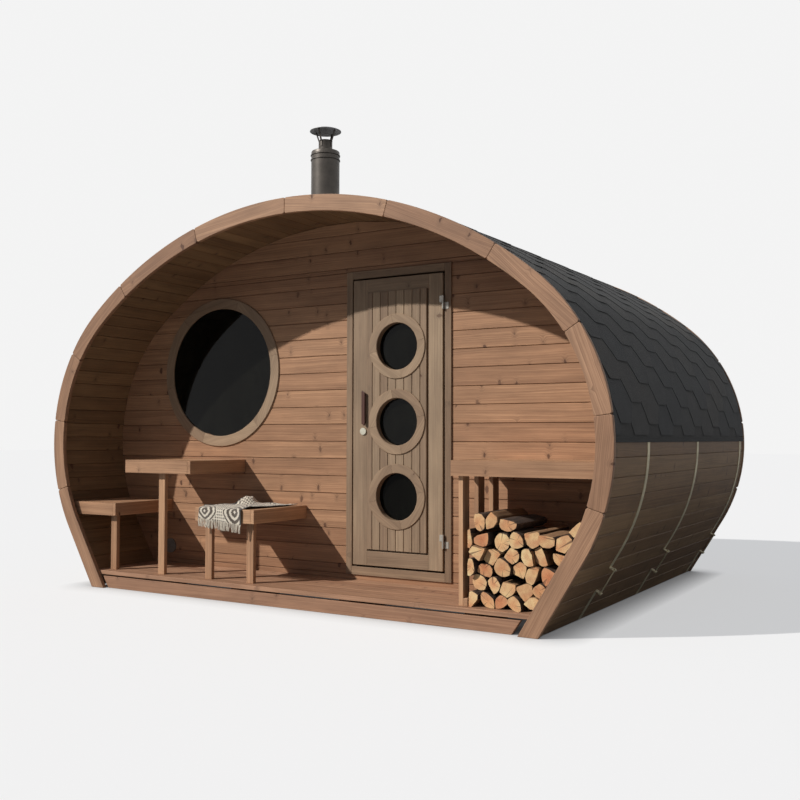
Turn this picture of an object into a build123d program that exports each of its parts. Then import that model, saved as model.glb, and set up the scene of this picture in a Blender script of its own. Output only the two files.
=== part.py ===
"""Outdoor sauna: an oval timber cabin with a porch, a wood store and a chimney

Millimetres. X runs across the front, Y from the porch to the back and Z up.
The origin is on the ground, in the middle of the plan.
"""
from build123d import *
import math
import os
import random

os.makedirs("parts", exist_ok=True)

# Oval outline: a top arc, two side arcs tangent to it, and straight feet
HALF_WIDTH = 2000
CROWN_HEIGHT = 2415
SIDE_RADIUS = 1130
SIDE_HEIGHT = 970
FOOT_HALF_WIDTH = 1602
LENGTH = 2903

# End rings, as curved boards that meet at joints
RING_WIDTH = 95
RING_THICKNESS = 28
RING_GAP = 2
RING_NOTCH = 8
TOP_JOINT_ANGLES = (90, 73.25, 56.5)
SIDE_JOINT_ANGLES = (32, 7.3, -17.4)

# Stave shell, roof cover and steel bands
SHELL_INSET = 6
STAVE = 40
COVER_EDGE_HEIGHT = 975
EDGE_STRIP_HEIGHT = 24
BAND_WIDTH = 38
BAND_THICKNESS = 2.5
BAND_PLACES = (570, 1580, 2770)
BAND_BOTTOM = 8
LUG_RUNS = (98, 242)
LUG_REACH = 36
LUG_THICKNESS = 4
ROD_RADIUS = 4
NUT_RADIUS = 8
NUT_THICKNESS = 7

# Floors, walls and skirts, with places counted back from the front face
FLOOR_BOTTOM = 86
FLOOR_TOP = 110
DECK_FRONT = 30
WALL_FACE = 580
WALL_THICKNESS = 42
REAR_RECESS = 80
FIT = 0.5
SKIRT_THICKNESS = 28
SKIRT_HEIGHT = 82
SKIRT_END_GAP = 38
JOIST_WIDTH = 70
JOIST_PLACES = (-1200, -400, 400, 1200)

# Door frame and leaf
DOOR_X = 437
FRAME_WIDTH = 751
FRAME_BOTTOM = 141
FRAME_TOP = 2044
FRAME_PROUD = 11
LEAF_WIDTH = 640
LEAF_BOTTOM = 205
LEAF_TOP = 1985
LEAF_THICKNESS = 42
LEAF_PROUD = 16
CLEARANCE = 12
PANEL_X = 441
PANEL_WIDTH = 438
PANEL_BOTTOM = 295
PANEL_TOP = 1900
PANEL_PROUD = 5

# Round openings: three portholes in the door and one big window
PORTHOLE_HEIGHTS = (635, 1093, 1557)
PORTHOLE_RADIUS = 145
PORTHOLE_TRIM = 56
PORTHOLE_PROUD = 7
WINDOW_X = -997
WINDOW_Z = 1445
WINDOW_RADIUS = 440
WINDOW_TRIM = 71
WINDOW_PROUD = 10
REBATE = 5
GLASS = 8
PANE_SIDES = 24

# Door furniture
HINGE_HEIGHTS = (342, 1766)
HINGE_LENGTH = 80
KNUCKLE_RADIUS = 7
PIN_RADIUS = 4
PIN_PLAY = 0.05
HINGE_PLATE = 2.5
HINGE_PLATE_WIDTH = 26
HANDLE_X = 206
HANDLE_BOTTOM = 1070
HANDLE_TOP = 1290
HANDLE_WIDTH = 24
HANDLE_DEPTH = 12
HANDLE_STANDOFF = 14
HANDLE_SLANT = 14
LOCK_X = 194
LOCK_HEIGHT = 1036
LOCK_RADIUS = 22
LOCK_PROUD = 8

# Vent in the front wall
VENT_X = -1451
VENT_Z = 229
VENT_RADIUS = 50
VENT_PROUD = 10

# Porch table and benches: x of both sides, underside and top
TABLE = (-1353, -774, 763, 847)
LEFT_BENCH = (-1900, -1440, 474, 558)
RIGHT_BENCH = (-728, -255, 474, 558)
TOP_FRONT = 50
TOP_BOARD = 27
LEG_WIDTH = 54
LEG_DEPTH = 27
LEG_FRONT = 96
TABLE_LEG_X = -1064
LEFT_LEG_X = -1502
RIGHT_LEG_XS = (-657, -322)

# Wood store
STORE_X = 1087
STORE_BOTTOM = 795
STORE_TOP = 877
SLAT_X = 1120
SLAT_THICKNESS = 27
SLAT_WIDTH = 75
SLAT_PITCH = 183
SLAT_COUNT = 3
RAIL_SIZE = 42

# Split logs: rounds, halves and wedges in the cells of an uneven grid
LOG_PITCH = 92
LOG_ROW = 80
LOG_ROWS = 6
LOG_COLUMNS = 8
LOG_JITTER = 21
LOG_GAP = 5
LOG_LENGTH = 400
LOG_FRONT = 80
LOG_FRONT_SPREAD = 45
LOG_LEFT = 1180
LOG_SEED = 11
LOG_KINDS = ((360, 0.56), (170, 0.68), (110, 0.95), (80, 1.1))
LOG_ARC_STEP = 36
HEAP_DIP = (1500, 1700)

# Throw over the right bench
THROW_LEFT = -700
THROW_RIGHT = -330
THROW_BACK = 545
THROW_THICKNESS = 8
THROW_DROP = 155

# Chimney
CHIMNEY_X = -408
CHIMNEY_Y = 980
PIPE_RADIUS = 99
PIPE_BOTTOM = 2250
PIPE_TOP = 2998
BEAD_HEIGHTS = (2936, 2969)
BEAD = 5
FLUE_RADIUS = 48
FLUE_BORE = 44
FLUE_TOP = 3076
CAP_RADIUS = 110
CAP_RIM = 3141
CAP_TOP = 3178
CAP_SHEET = 3
CAP_TIP = 8
STRUT_WIDTH = 12
STRUT_SHEET = 3
STRUT_COUNT = 4
COLLAR_RADIUS = 170
COLLAR_HEIGHT = 95
COLLAR_FIT = 0.5
SHEET_SIDES = 32

# Worked out from the above
FRONT = -LENGTH / 2
SIDE_X = HALF_WIDTH - SIDE_RADIUS
RISE = CROWN_HEIGHT - SIDE_HEIGHT
TOP_RADIUS = (SIDE_X**2 + RISE**2 - SIDE_RADIUS**2) / (2 * (RISE - SIDE_RADIUS))
TOP_HEIGHT = CROWN_HEIGHT - TOP_RADIUS
SHOULDER_ANGLE = math.degrees(math.atan2(SIDE_HEIGHT - TOP_HEIGHT, SIDE_X))
FOOT_SPAN = math.hypot(FOOT_HALF_WIDTH - SIDE_X, SIDE_HEIGHT)
FOOT_BEARING = math.degrees(math.atan2(-SIDE_HEIGHT, FOOT_HALF_WIDTH - SIDE_X))
HIP_ANGLE = FOOT_BEARING + math.degrees(math.acos(SIDE_RADIUS / FOOT_SPAN))
TOP_ARC = (0, TOP_HEIGHT, TOP_RADIUS)
SIDE_ARC = (SIDE_X, SIDE_HEIGHT, SIDE_RADIUS)
SHELL_INNER = SHELL_INSET + STAVE
ROOM_INSET = SHELL_INNER + FIT
REAR_WALL_FACE = LENGTH - REAR_RECESS - WALL_THICKNESS
WALL_BACK = WALL_FACE + WALL_THICKNESS
REAR_SKIRT_FACE = REAR_WALL_FACE + WALL_THICKNESS - SKIRT_THICKNESS
LEAF_FACE = WALL_FACE - LEAF_PROUD
LEAF_RIGHT = DOOR_X + LEAF_WIDTH / 2
HINGE_X = LEAF_RIGHT + CLEARANCE / 2
HINGE_Y = LEAF_FACE - KNUCKLE_RADIUS
FAR = 6000


def upright(distance):
    """Upright plane at a distance back from the front face, seen from the front"""
    return Plane.XZ.offset(-(FRONT + distance))


def arc_point(arc, angle, inset=0):
    """Point of an arc of the outline, moved in towards its centre"""
    centre_x, centre_z, radius = arc
    turn = math.radians(angle)
    reach = radius - inset
    return (centre_x + reach * math.cos(turn), centre_z + reach * math.sin(turn))


def foot_point(inset, run):
    """Point on the straight foot, a run down from where the side arc ends"""
    hip_x, hip_z = arc_point(SIDE_ARC, HIP_ANGLE, inset)
    down = math.radians(HIP_ANGLE - 90)
    return (hip_x + run * math.cos(down), hip_z + run * math.sin(down))


def foot_at(inset, height):
    """Point on the straight foot at a height"""
    hip_z = arc_point(SIDE_ARC, HIP_ANGLE, inset)[1]
    return foot_point(inset, (hip_z - height) / math.cos(math.radians(HIP_ANGLE)))


def oval(inset, base=0):
    """Face inside the outline moved in by inset, cut level at base"""
    crown = arc_point(TOP_ARC, 90, inset)
    haunch = arc_point(TOP_ARC, (90 + SHOULDER_ANGLE) / 2, inset)
    shoulder = arc_point(TOP_ARC, SHOULDER_ANGLE, inset)
    side = arc_point(SIDE_ARC, (SHOULDER_ANGLE + HIP_ANGLE) / 2, inset)
    hip = arc_point(SIDE_ARC, HIP_ANGLE, inset)
    foot = foot_at(inset, base)
    with BuildSketch() as face:
        with BuildLine():
            ThreePointArc(crown, haunch, shoulder)
            ThreePointArc(shoulder, side, hip)
            Line(hip, foot)
            Line(foot, (0, base))
            mirror(about=Plane.YZ)
        make_face()
    return face.sketch


def joint_point(number, inset, shift=0):
    """Point on a joint between ring boards, counted from the crown down the right side"""
    if number < len(TOP_JOINT_ANGLES):
        arc = TOP_ARC
        angle = TOP_JOINT_ANGLES[number]
    elif number < len(TOP_JOINT_ANGLES) + len(SIDE_JOINT_ANGLES):
        arc = SIDE_ARC
        angle = SIDE_JOINT_ANGLES[number - len(TOP_JOINT_ANGLES)]
    else:
        return foot_point(inset, FOOT_SPAN)
    return arc_point(arc, angle - math.degrees(shift / arc[2]), inset)


def wedge(number, shift=0, notch=0):
    """Face that holds one board of the oval between two joints, with its corners cut"""
    reach = 3 * RING_WIDTH
    if notch:
        edge = ((-reach, notch), (0, notch), (notch, 0))
        edge += ((RING_WIDTH - notch, 0), (RING_WIDTH, notch), (reach, notch))
    else:
        edge = ((-reach, 0), (reach, 0))
    near = [joint_point(number, inset, shift + cut) for inset, cut in edge]
    far = [joint_point(number + 1, inset, -shift - cut) for inset, cut in edge]
    with BuildSketch() as face:
        Polygon(*near, *reversed(far), align=None)
    return face.sketch


def block(left, right, low, high):
    """Rectangle in an upright sketch, given by its sides"""
    with BuildSketch() as face:
        with Locations(((left + right) / 2, (low + high) / 2)):
            Rectangle(right - left, high - low)
    return face.sketch


def save(part, name):
    """Label a finished piece and write it"""
    part.label = name
    export_step(part, f"parts/{name}.step")


# End rings
RING_STARTS = {"front_ring": 0, "rear_ring": LENGTH - RING_THICKNESS}
for ring_name, ring_start in RING_STARTS.items():
    with BuildPart() as ring:
        for number in range(6):
            with BuildSketch(upright(ring_start)):
                add(oval(0))
                add(oval(RING_WIDTH), mode=Mode.SUBTRACT)
                add(wedge(number, RING_GAP / 2, RING_NOTCH), mode=Mode.INTERSECT)
            extrude(amount=-RING_THICKNESS)
        mirror(about=Plane.YZ)
    save(ring.part, ring_name)

# Stave shell: five pairs of panels, and two crown panels
SHELL_LENGTH = LENGTH - 2 * RING_THICKNESS
PANEL_NAMES = ("haunches", "shoulders", "upper_sides", "lower_sides", "feet")
for number, panel_name in enumerate(PANEL_NAMES, start=1):
    with BuildPart() as shell_pair:
        with BuildSketch(upright(RING_THICKNESS)):
            add(oval(SHELL_INSET))
            add(oval(SHELL_INNER), mode=Mode.SUBTRACT)
            add(wedge(number), mode=Mode.INTERSECT)
        extrude(amount=-SHELL_LENGTH)
        mirror(about=Plane.YZ)
    save(shell_pair.part, f"shell_{panel_name}")

with BuildPart() as crown_right:
    with BuildSketch(upright(RING_THICKNESS)):
        add(oval(SHELL_INSET))
        add(oval(SHELL_INNER), mode=Mode.SUBTRACT)
        add(wedge(0), mode=Mode.INTERSECT)
    extrude(amount=-SHELL_LENGTH)
save(crown_right.part, "shell_crown_right")

with BuildPart() as crown_left:
    add(crown_right.part.mirror(Plane.YZ))
    with BuildSketch(Plane.XY):
        with Locations((CHIMNEY_X, FRONT + CHIMNEY_Y)):
            RegularPolygon(PIPE_RADIUS + COLLAR_FIT, SHEET_SIDES, major_radius=False)
    extrude(amount=FAR, mode=Mode.SUBTRACT)
save(crown_left.part, "shell_crown_left")

# Roof cover over the top half, with a thicker strip along each lower edge
with BuildPart() as roof_cover:
    with BuildSketch(upright(RING_THICKNESS)):
        add(oval(0))
        add(oval(SHELL_INSET), mode=Mode.SUBTRACT)
        add(block(-FAR, FAR, COVER_EDGE_HEIGHT + EDGE_STRIP_HEIGHT, FAR), mode=Mode.INTERSECT)
    extrude(amount=-SHELL_LENGTH)
    with BuildSketch(Plane.XY):
        with Locations((CHIMNEY_X, FRONT + CHIMNEY_Y)):
            RegularPolygon(PIPE_RADIUS + COLLAR_FIT, SHEET_SIDES, major_radius=False)
    extrude(amount=FAR, mode=Mode.SUBTRACT)
save(roof_cover.part, "roof_cover")

with BuildPart() as roof_edges:
    with BuildSketch(upright(RING_THICKNESS)):
        add(oval(0))
        add(oval(SHELL_INSET), mode=Mode.SUBTRACT)
        add(
            block(0, FAR, COVER_EDGE_HEIGHT, COVER_EDGE_HEIGHT + EDGE_STRIP_HEIGHT),
            mode=Mode.INTERSECT,
        )
    extrude(amount=-SHELL_LENGTH)
    mirror(about=Plane.YZ)
save(roof_edges.part, "roof_edges")

# Steel bands: an upper and a lower strip on each side, with a folded lug at each gap
LUG_FOOT = foot_point(SHELL_INSET, 0)
FOOT_DOWN = math.radians(HIP_ANGLE - 90)


def lug(run):
    """Folded end of a strip, seen from the front"""
    inner = SHELL_INSET
    outer = SHELL_INSET - LUG_REACH
    corners = (
        foot_point(inner, run),
        foot_point(outer, run),
        foot_point(outer, run + LUG_THICKNESS),
        foot_point(inner, run + LUG_THICKNESS),
    )
    with BuildSketch() as face:
        Polygon(*corners, align=None)
    return face.sketch


def strip_span(top_run, bottom_run):
    """Four-sided face that holds a strip between two runs down the foot"""
    corners = (
        foot_point(-LUG_REACH, top_run),
        foot_point(-LUG_REACH, bottom_run),
        foot_point(LUG_REACH, bottom_run),
        foot_point(LUG_REACH, top_run),
    )
    with BuildSketch() as face:
        Polygon(*corners, align=None)
    return face.sketch


UPPER_LUG, LOWER_LUG = LUG_RUNS
with BuildPart() as bands:
    for place in BAND_PLACES:
        with BuildSketch(upright(place - BAND_WIDTH / 2)):
            add(oval(SHELL_INSET - BAND_THICKNESS))
            add(oval(SHELL_INSET), mode=Mode.SUBTRACT)
            add(block(0, FAR, BAND_BOTTOM, COVER_EDGE_HEIGHT), mode=Mode.INTERSECT)
            add(strip_span(UPPER_LUG, LOWER_LUG + LUG_THICKNESS), mode=Mode.SUBTRACT)
            add(lug(UPPER_LUG - LUG_THICKNESS))
            add(lug(LOWER_LUG + LUG_THICKNESS))
        extrude(amount=-BAND_WIDTH)
    mirror(about=Plane.YZ)
save(bands.part, "bands")

# Threaded rods that pull the strips together, each with a nut outside both lugs
ROD_INSET = SHELL_INSET - LUG_REACH + NUT_RADIUS
with BuildPart() as band_rods:
    for place in BAND_PLACES:
        for start, depth, radius in (
            (UPPER_LUG, LOWER_LUG + LUG_THICKNESS - UPPER_LUG, ROD_RADIUS),
            (UPPER_LUG - LUG_THICKNESS - NUT_THICKNESS, NUT_THICKNESS, NUT_RADIUS),
            (LOWER_LUG + 2 * LUG_THICKNESS, NUT_THICKNESS, NUT_RADIUS),
        ):
            rod_x, rod_z = foot_point(ROD_INSET, start)
            along = (math.cos(FOOT_DOWN), 0, math.sin(FOOT_DOWN))
            with BuildSketch(Plane((rod_x, FRONT + place, rod_z), (0, 1, 0), along)):
                RegularPolygon(radius, 6)
            extrude(amount=depth)
    mirror(about=Plane.YZ)
save(band_rods.part, "band_rods")

# Floor joists, skirts, porch deck and cabin floor
with BuildPart() as floor_joists:
    for joist_x in JOIST_PLACES:
        with BuildSketch(upright(DECK_FRONT + SKIRT_THICKNESS)):
            add(block(joist_x - JOIST_WIDTH / 2, joist_x + JOIST_WIDTH / 2, 0, FLOOR_BOTTOM))
        extrude(amount=-(REAR_SKIRT_FACE - DECK_FRONT - SKIRT_THICKNESS))
save(floor_joists.part, "floor_joists")

SKIRTS = {
    "front_skirt": (DECK_FRONT, RING_WIDTH + SKIRT_END_GAP, SKIRT_HEIGHT),
    "rear_skirt": (REAR_SKIRT_FACE, ROOM_INSET, FLOOR_BOTTOM),
}
for skirt_name, (skirt_start, end_inset, skirt_height) in SKIRTS.items():
    with BuildPart() as skirt:
        with BuildSketch(upright(skirt_start)):
            add(oval(end_inset))
            add(block(-FAR, FAR, 0, skirt_height), mode=Mode.INTERSECT)
        extrude(amount=-SKIRT_THICKNESS)
    save(skirt.part, skirt_name)

FLOORS = {
    "porch_deck": (DECK_FRONT, WALL_FACE),
    "cabin_floor": (WALL_BACK, REAR_WALL_FACE),
}
for floor_name, (floor_start, floor_end) in FLOORS.items():
    with BuildPart() as floor:
        with BuildSketch(upright(floor_start)):
            add(oval(ROOM_INSET))
            add(block(-FAR, FAR, FLOOR_BOTTOM, FLOOR_TOP), mode=Mode.INTERSECT)
        extrude(amount=-(floor_end - floor_start))
    save(floor.part, floor_name)

# Front wall, split beside, over and under the door frame
FRAME_LEFT = DOOR_X - FRAME_WIDTH / 2
FRAME_RIGHT = DOOR_X + FRAME_WIDTH / 2
with BuildPart() as front_wall_left:
    with BuildSketch(upright(WALL_FACE)):
        add(oval(ROOM_INSET, FLOOR_BOTTOM))
        add(block(-FAR, FRAME_LEFT, 0, FAR), mode=Mode.INTERSECT)
        with Locations((WINDOW_X, WINDOW_Z)):
            Circle(WINDOW_RADIUS + REBATE, mode=Mode.SUBTRACT)
    extrude(amount=-WALL_THICKNESS)
save(front_wall_left.part, "front_wall_left")

PLAIN_WALLS = {
    "front_wall_right": (FRAME_RIGHT, FAR, 0, FAR),
    "front_wall_over_door": (FRAME_LEFT, FRAME_RIGHT, FRAME_TOP, FAR),
    "front_wall_under_door": (FRAME_LEFT, FRAME_RIGHT, 0, FRAME_BOTTOM),
}
for wall_name, sides in PLAIN_WALLS.items():
    with BuildPart() as wall:
        with BuildSketch(upright(WALL_FACE)):
            add(oval(ROOM_INSET, FLOOR_BOTTOM))
            add(block(*sides), mode=Mode.INTERSECT)
        extrude(amount=-WALL_THICKNESS)
    save(wall.part, wall_name)

with BuildPart() as rear_wall:
    with BuildSketch(upright(REAR_WALL_FACE)):
        add(oval(ROOM_INSET, FLOOR_BOTTOM))
    extrude(amount=-WALL_THICKNESS)
save(rear_wall.part, "rear_wall")

# Door frame: two jambs, a head and a threshold
OPENING_LEFT = DOOR_X - LEAF_WIDTH / 2 - CLEARANCE
OPENING_RIGHT = DOOR_X + LEAF_WIDTH / 2 + CLEARANCE
OPENING_BOTTOM = LEAF_BOTTOM - CLEARANCE
OPENING_TOP = LEAF_TOP + CLEARANCE
FRAME_DEPTH = FRAME_PROUD + WALL_THICKNESS
with BuildPart() as door_jambs:
    with BuildSketch(upright(WALL_FACE - FRAME_PROUD)):
        add(block(FRAME_LEFT, OPENING_LEFT, FRAME_BOTTOM, FRAME_TOP))
        add(block(OPENING_RIGHT, FRAME_RIGHT, FRAME_BOTTOM, FRAME_TOP))
    extrude(amount=-FRAME_DEPTH)
save(door_jambs.part, "door_jambs")

CROSS_PIECES = {
    "door_head": (OPENING_TOP, FRAME_TOP),
    "door_threshold": (FRAME_BOTTOM, OPENING_BOTTOM),
}
for piece_name, (low, high) in CROSS_PIECES.items():
    with BuildPart() as cross_piece:
        with BuildSketch(upright(WALL_FACE - FRAME_PROUD)):
            add(block(OPENING_LEFT, OPENING_RIGHT, low, high))
        extrude(amount=-FRAME_DEPTH)
    save(cross_piece.part, piece_name)

# Door leaf: two stiles, two rails and a boarded panel with three portholes
LEAF_LEFT = DOOR_X - LEAF_WIDTH / 2
PANEL_LEFT = PANEL_X - PANEL_WIDTH / 2
PANEL_RIGHT = PANEL_X + PANEL_WIDTH / 2
with BuildPart() as door_stiles:
    with BuildSketch(upright(LEAF_FACE)):
        add(block(LEAF_LEFT, PANEL_LEFT, LEAF_BOTTOM, LEAF_TOP))
        add(block(PANEL_RIGHT, LEAF_RIGHT, LEAF_BOTTOM, LEAF_TOP))
    extrude(amount=-LEAF_THICKNESS)
save(door_stiles.part, "door_stiles")

with BuildPart() as door_rails:
    with BuildSketch(upright(LEAF_FACE)):
        add(block(PANEL_LEFT, PANEL_RIGHT, LEAF_BOTTOM, PANEL_BOTTOM))
        add(block(PANEL_LEFT, PANEL_RIGHT, PANEL_TOP, LEAF_TOP))
    extrude(amount=-LEAF_THICKNESS)
save(door_rails.part, "door_rails")

with BuildPart() as door_panel:
    with BuildSketch(upright(LEAF_FACE - PANEL_PROUD)):
        add(block(PANEL_LEFT, PANEL_RIGHT, PANEL_BOTTOM, PANEL_TOP))
        for porthole_z in PORTHOLE_HEIGHTS:
            with Locations((PANEL_X, porthole_z)):
                Circle(PORTHOLE_RADIUS + REBATE, mode=Mode.SUBTRACT)
    extrude(amount=-LEAF_THICKNESS)
save(door_panel.part, "door_panel")

# Round trims on the faces of the door and the wall, and panes in the holes behind them
PANEL_FACE = LEAF_FACE - PANEL_PROUD
PANEL_BACK = PANEL_FACE + LEAF_THICKNESS
PORTHOLE_CENTRES = [(PANEL_X, porthole_z) for porthole_z in PORTHOLE_HEIGHTS]
with BuildPart() as porthole_rings:
    with BuildSketch(upright(PANEL_FACE - PORTHOLE_PROUD)):
        with Locations(*PORTHOLE_CENTRES):
            Circle(PORTHOLE_RADIUS + PORTHOLE_TRIM)
            Circle(PORTHOLE_RADIUS, mode=Mode.SUBTRACT)
    extrude(amount=-PORTHOLE_PROUD)
save(porthole_rings.part, "porthole_rings")

with BuildPart() as porthole_glass:
    with BuildSketch(upright(PANEL_BACK - GLASS)):
        with Locations(*PORTHOLE_CENTRES):
            RegularPolygon(PORTHOLE_RADIUS + REBATE - FIT, PANE_SIDES)
    extrude(amount=-GLASS)
save(porthole_glass.part, "porthole_glass")

with BuildPart() as window_frame:
    with BuildSketch(upright(WALL_FACE - WINDOW_PROUD)):
        with Locations((WINDOW_X, WINDOW_Z)):
            Circle(WINDOW_RADIUS + WINDOW_TRIM)
            Circle(WINDOW_RADIUS, mode=Mode.SUBTRACT)
    extrude(amount=-WINDOW_PROUD)
save(window_frame.part, "window_frame")

with BuildPart() as window_glass:
    with BuildSketch(upright(WALL_FACE + FIT)):
        with Locations((WINDOW_X, WINDOW_Z)):
            RegularPolygon(WINDOW_RADIUS + REBATE - FIT, PANE_SIDES)
    extrude(amount=-GLASS)
save(window_glass.part, "window_glass")

# Lift-off hinges: the lower knuckle and pin on the frame, the upper knuckle on the leaf
KNUCKLE_GAP = 1
KNUCKLE_LENGTH = (HINGE_LENGTH - KNUCKLE_GAP) / 2
FRAME_FACE = WALL_FACE - FRAME_PROUD
with BuildPart() as hinge_pins:
    for hinge_z in HINGE_HEIGHTS:
        with BuildSketch(Plane.XY.offset(hinge_z)):
            with Locations((HINGE_X, FRONT + HINGE_Y)):
                Circle(KNUCKLE_RADIUS)
            with Locations((HINGE_X, FRONT + FRAME_FACE)):
                Rectangle(
                    KNUCKLE_RADIUS,
                    FRAME_FACE - HINGE_Y,
                    align=(Align.MIN, Align.MAX),
                )
            with Locations((HINGE_X + CLEARANCE / 2, FRONT + FRAME_FACE)):
                Rectangle(HINGE_PLATE_WIDTH, HINGE_PLATE, align=(Align.MIN, Align.MAX))
        extrude(amount=KNUCKLE_LENGTH)
        with BuildSketch(Plane.XY.offset(hinge_z + KNUCKLE_LENGTH)):
            with Locations((HINGE_X, FRONT + HINGE_Y)):
                Circle(PIN_RADIUS)
        extrude(amount=KNUCKLE_LENGTH)
save(hinge_pins.part, "hinge_pins")

with BuildPart() as hinge_sockets:
    for hinge_z in HINGE_HEIGHTS:
        with BuildSketch(Plane.XY.offset(hinge_z + KNUCKLE_LENGTH + KNUCKLE_GAP)):
            with Locations((HINGE_X, FRONT + HINGE_Y)):
                Circle(KNUCKLE_RADIUS)
            with Locations((HINGE_X, FRONT + LEAF_FACE)):
                Rectangle(
                    HINGE_PLATE_WIDTH, HINGE_PLATE, align=(Align.MAX, Align.MAX)
                )
            with Locations((HINGE_X, FRONT + HINGE_Y)):
                Circle(PIN_RADIUS + PIN_PLAY, mode=Mode.SUBTRACT)
        extrude(amount=KNUCKLE_LENGTH)
save(hinge_sockets.part, "hinge_sockets")

# Wooden pull on two standoffs, and a round lock plate under it
with BuildPart() as door_handle:
    with BuildSketch(upright(LEAF_FACE - HANDLE_STANDOFF - HANDLE_DEPTH)):
        Polygon(
            (HANDLE_X - HANDLE_WIDTH / 2, HANDLE_TOP),
            (HANDLE_X + HANDLE_WIDTH / 2, HANDLE_TOP - HANDLE_SLANT),
            (HANDLE_X + HANDLE_WIDTH / 2, HANDLE_BOTTOM + HANDLE_SLANT),
            (HANDLE_X + HANDLE_WIDTH / 4, HANDLE_BOTTOM),
            (HANDLE_X - HANDLE_WIDTH / 2, HANDLE_BOTTOM + HANDLE_SLANT),
            align=None,
        )
    extrude(amount=-HANDLE_DEPTH)
    with BuildSketch(upright(LEAF_FACE - HANDLE_STANDOFF)):
        for handle_z in (HANDLE_BOTTOM + HANDLE_WIDTH, HANDLE_TOP - HANDLE_WIDTH):
            with Locations((HANDLE_X, handle_z)):
                Rectangle(HANDLE_WIDTH / 2, HANDLE_WIDTH / 2)
    extrude(amount=-HANDLE_STANDOFF)
save(door_handle.part, "door_handle")

with BuildPart() as door_lock:
    with BuildSketch(upright(LEAF_FACE - LOCK_PROUD)):
        with Locations((LOCK_X, LOCK_HEIGHT)):
            RegularPolygon(LOCK_RADIUS, PANE_SIDES)
    extrude(amount=-LOCK_PROUD)
save(door_lock.part, "door_lock")

# Vent cover low on the front wall
with BuildPart() as vent_cover:
    with BuildSketch(upright(WALL_FACE - VENT_PROUD)):
        with Locations((VENT_X, VENT_Z)):
            RegularPolygon(VENT_RADIUS, PANE_SIDES)
    extrude(amount=-VENT_PROUD)
save(vent_cover.part, "vent_cover")

# Table and bench tops: a board with a deep rim, open underneath
PORCH_TOPS = {
    "table_top": TABLE,
    "left_bench_seat": LEFT_BENCH,
    "right_bench_seat": RIGHT_BENCH,
}
for top_name, (left, right, low, high) in PORCH_TOPS.items():
    inner_left = max(left, -HALF_WIDTH + SHELL_INNER) + TOP_BOARD
    with BuildPart() as porch_top:
        with BuildSketch(upright(TOP_FRONT)):
            add(block(left, right, low, high))
            add(oval(ROOM_INSET), mode=Mode.INTERSECT)
        extrude(amount=-(WALL_FACE - TOP_FRONT))
        with BuildSketch(upright(TOP_FRONT + TOP_BOARD)):
            add(block(left, right - TOP_BOARD, low, high - TOP_BOARD))
            add(oval(ROOM_INSET + TOP_BOARD), mode=Mode.INTERSECT)
            add(block(inner_left, right, low, high), mode=Mode.INTERSECT)
        extrude(amount=-(WALL_FACE - TOP_FRONT - 2 * TOP_BOARD), mode=Mode.SUBTRACT)
    save(porch_top.part, top_name)

LEGS = [(TABLE_LEG_X, TABLE[3]), (LEFT_LEG_X, LEFT_BENCH[3])]
LEGS += [(leg_x, RIGHT_BENCH[3]) for leg_x in RIGHT_LEG_XS]
with BuildPart() as porch_legs:
    for leg_x, top in LEGS:
        with BuildSketch(upright(LEG_FRONT)):
            add(block(leg_x - LEG_WIDTH / 2, leg_x + LEG_WIDTH / 2, FLOOR_TOP, top - TOP_BOARD))
        extrude(amount=-LEG_DEPTH)
save(porch_legs.part, "porch_legs")

# Wood store: a shelf with a front apron, and a slatted side on two rails
with BuildPart() as store_shelf:
    with BuildSketch(upright(TOP_FRONT)):
        add(oval(ROOM_INSET))
        add(block(STORE_X, FAR, STORE_BOTTOM, STORE_TOP), mode=Mode.INTERSECT)
    extrude(amount=-(WALL_FACE - TOP_FRONT))
    with BuildSketch(upright(TOP_FRONT + TOP_BOARD)):
        add(block(STORE_X + TOP_BOARD, FAR, STORE_BOTTOM, STORE_TOP - TOP_BOARD))
    extrude(amount=-(WALL_FACE - TOP_FRONT), mode=Mode.SUBTRACT)
save(store_shelf.part, "store_shelf")

SLAT_RIGHT = SLAT_X + SLAT_THICKNESS
with BuildPart() as store_side:
    for count in range(SLAT_COUNT):
        slat_start = TOP_FRONT + TOP_BOARD + count * SLAT_PITCH
        with BuildSketch(upright(slat_start)):
            add(block(SLAT_X, SLAT_RIGHT, FLOOR_TOP, STORE_TOP - TOP_BOARD))
        extrude(amount=-SLAT_WIDTH)
    with BuildSketch(upright(TOP_FRONT + TOP_BOARD)):
        add(block(SLAT_RIGHT, SLAT_RIGHT + SLAT_THICKNESS, FLOOR_TOP, FLOOR_TOP + RAIL_SIZE))
        add(
            block(
                SLAT_RIGHT,
                SLAT_RIGHT + SLAT_THICKNESS,
                STORE_TOP - TOP_BOARD - RAIL_SIZE,
                STORE_TOP - TOP_BOARD,
            )
        )
    extrude(amount=-(WALL_FACE - TOP_FRONT - TOP_BOARD))
save(store_side.part, "store_side")


# Split logs: each is the cell of points nearest to one centre, with gaps between
def clip(corners, through, outward):
    """Part of a convex polygon behind the line through a point"""
    kept = []
    for index, corner in enumerate(corners):
        before = corners[index - 1]
        side = [
            (point[0] - through[0]) * outward[0] + (point[1] - through[1]) * outward[1]
            for point in (before, corner)
        ]
        if side[0] * side[1] < 0:
            share = side[0] / (side[0] - side[1])
            kept.append(tuple(b + share * (c - b) for b, c in zip(before, corner)))
        if side[1] <= 0:
            kept.append(corner)
    return kept


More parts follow.
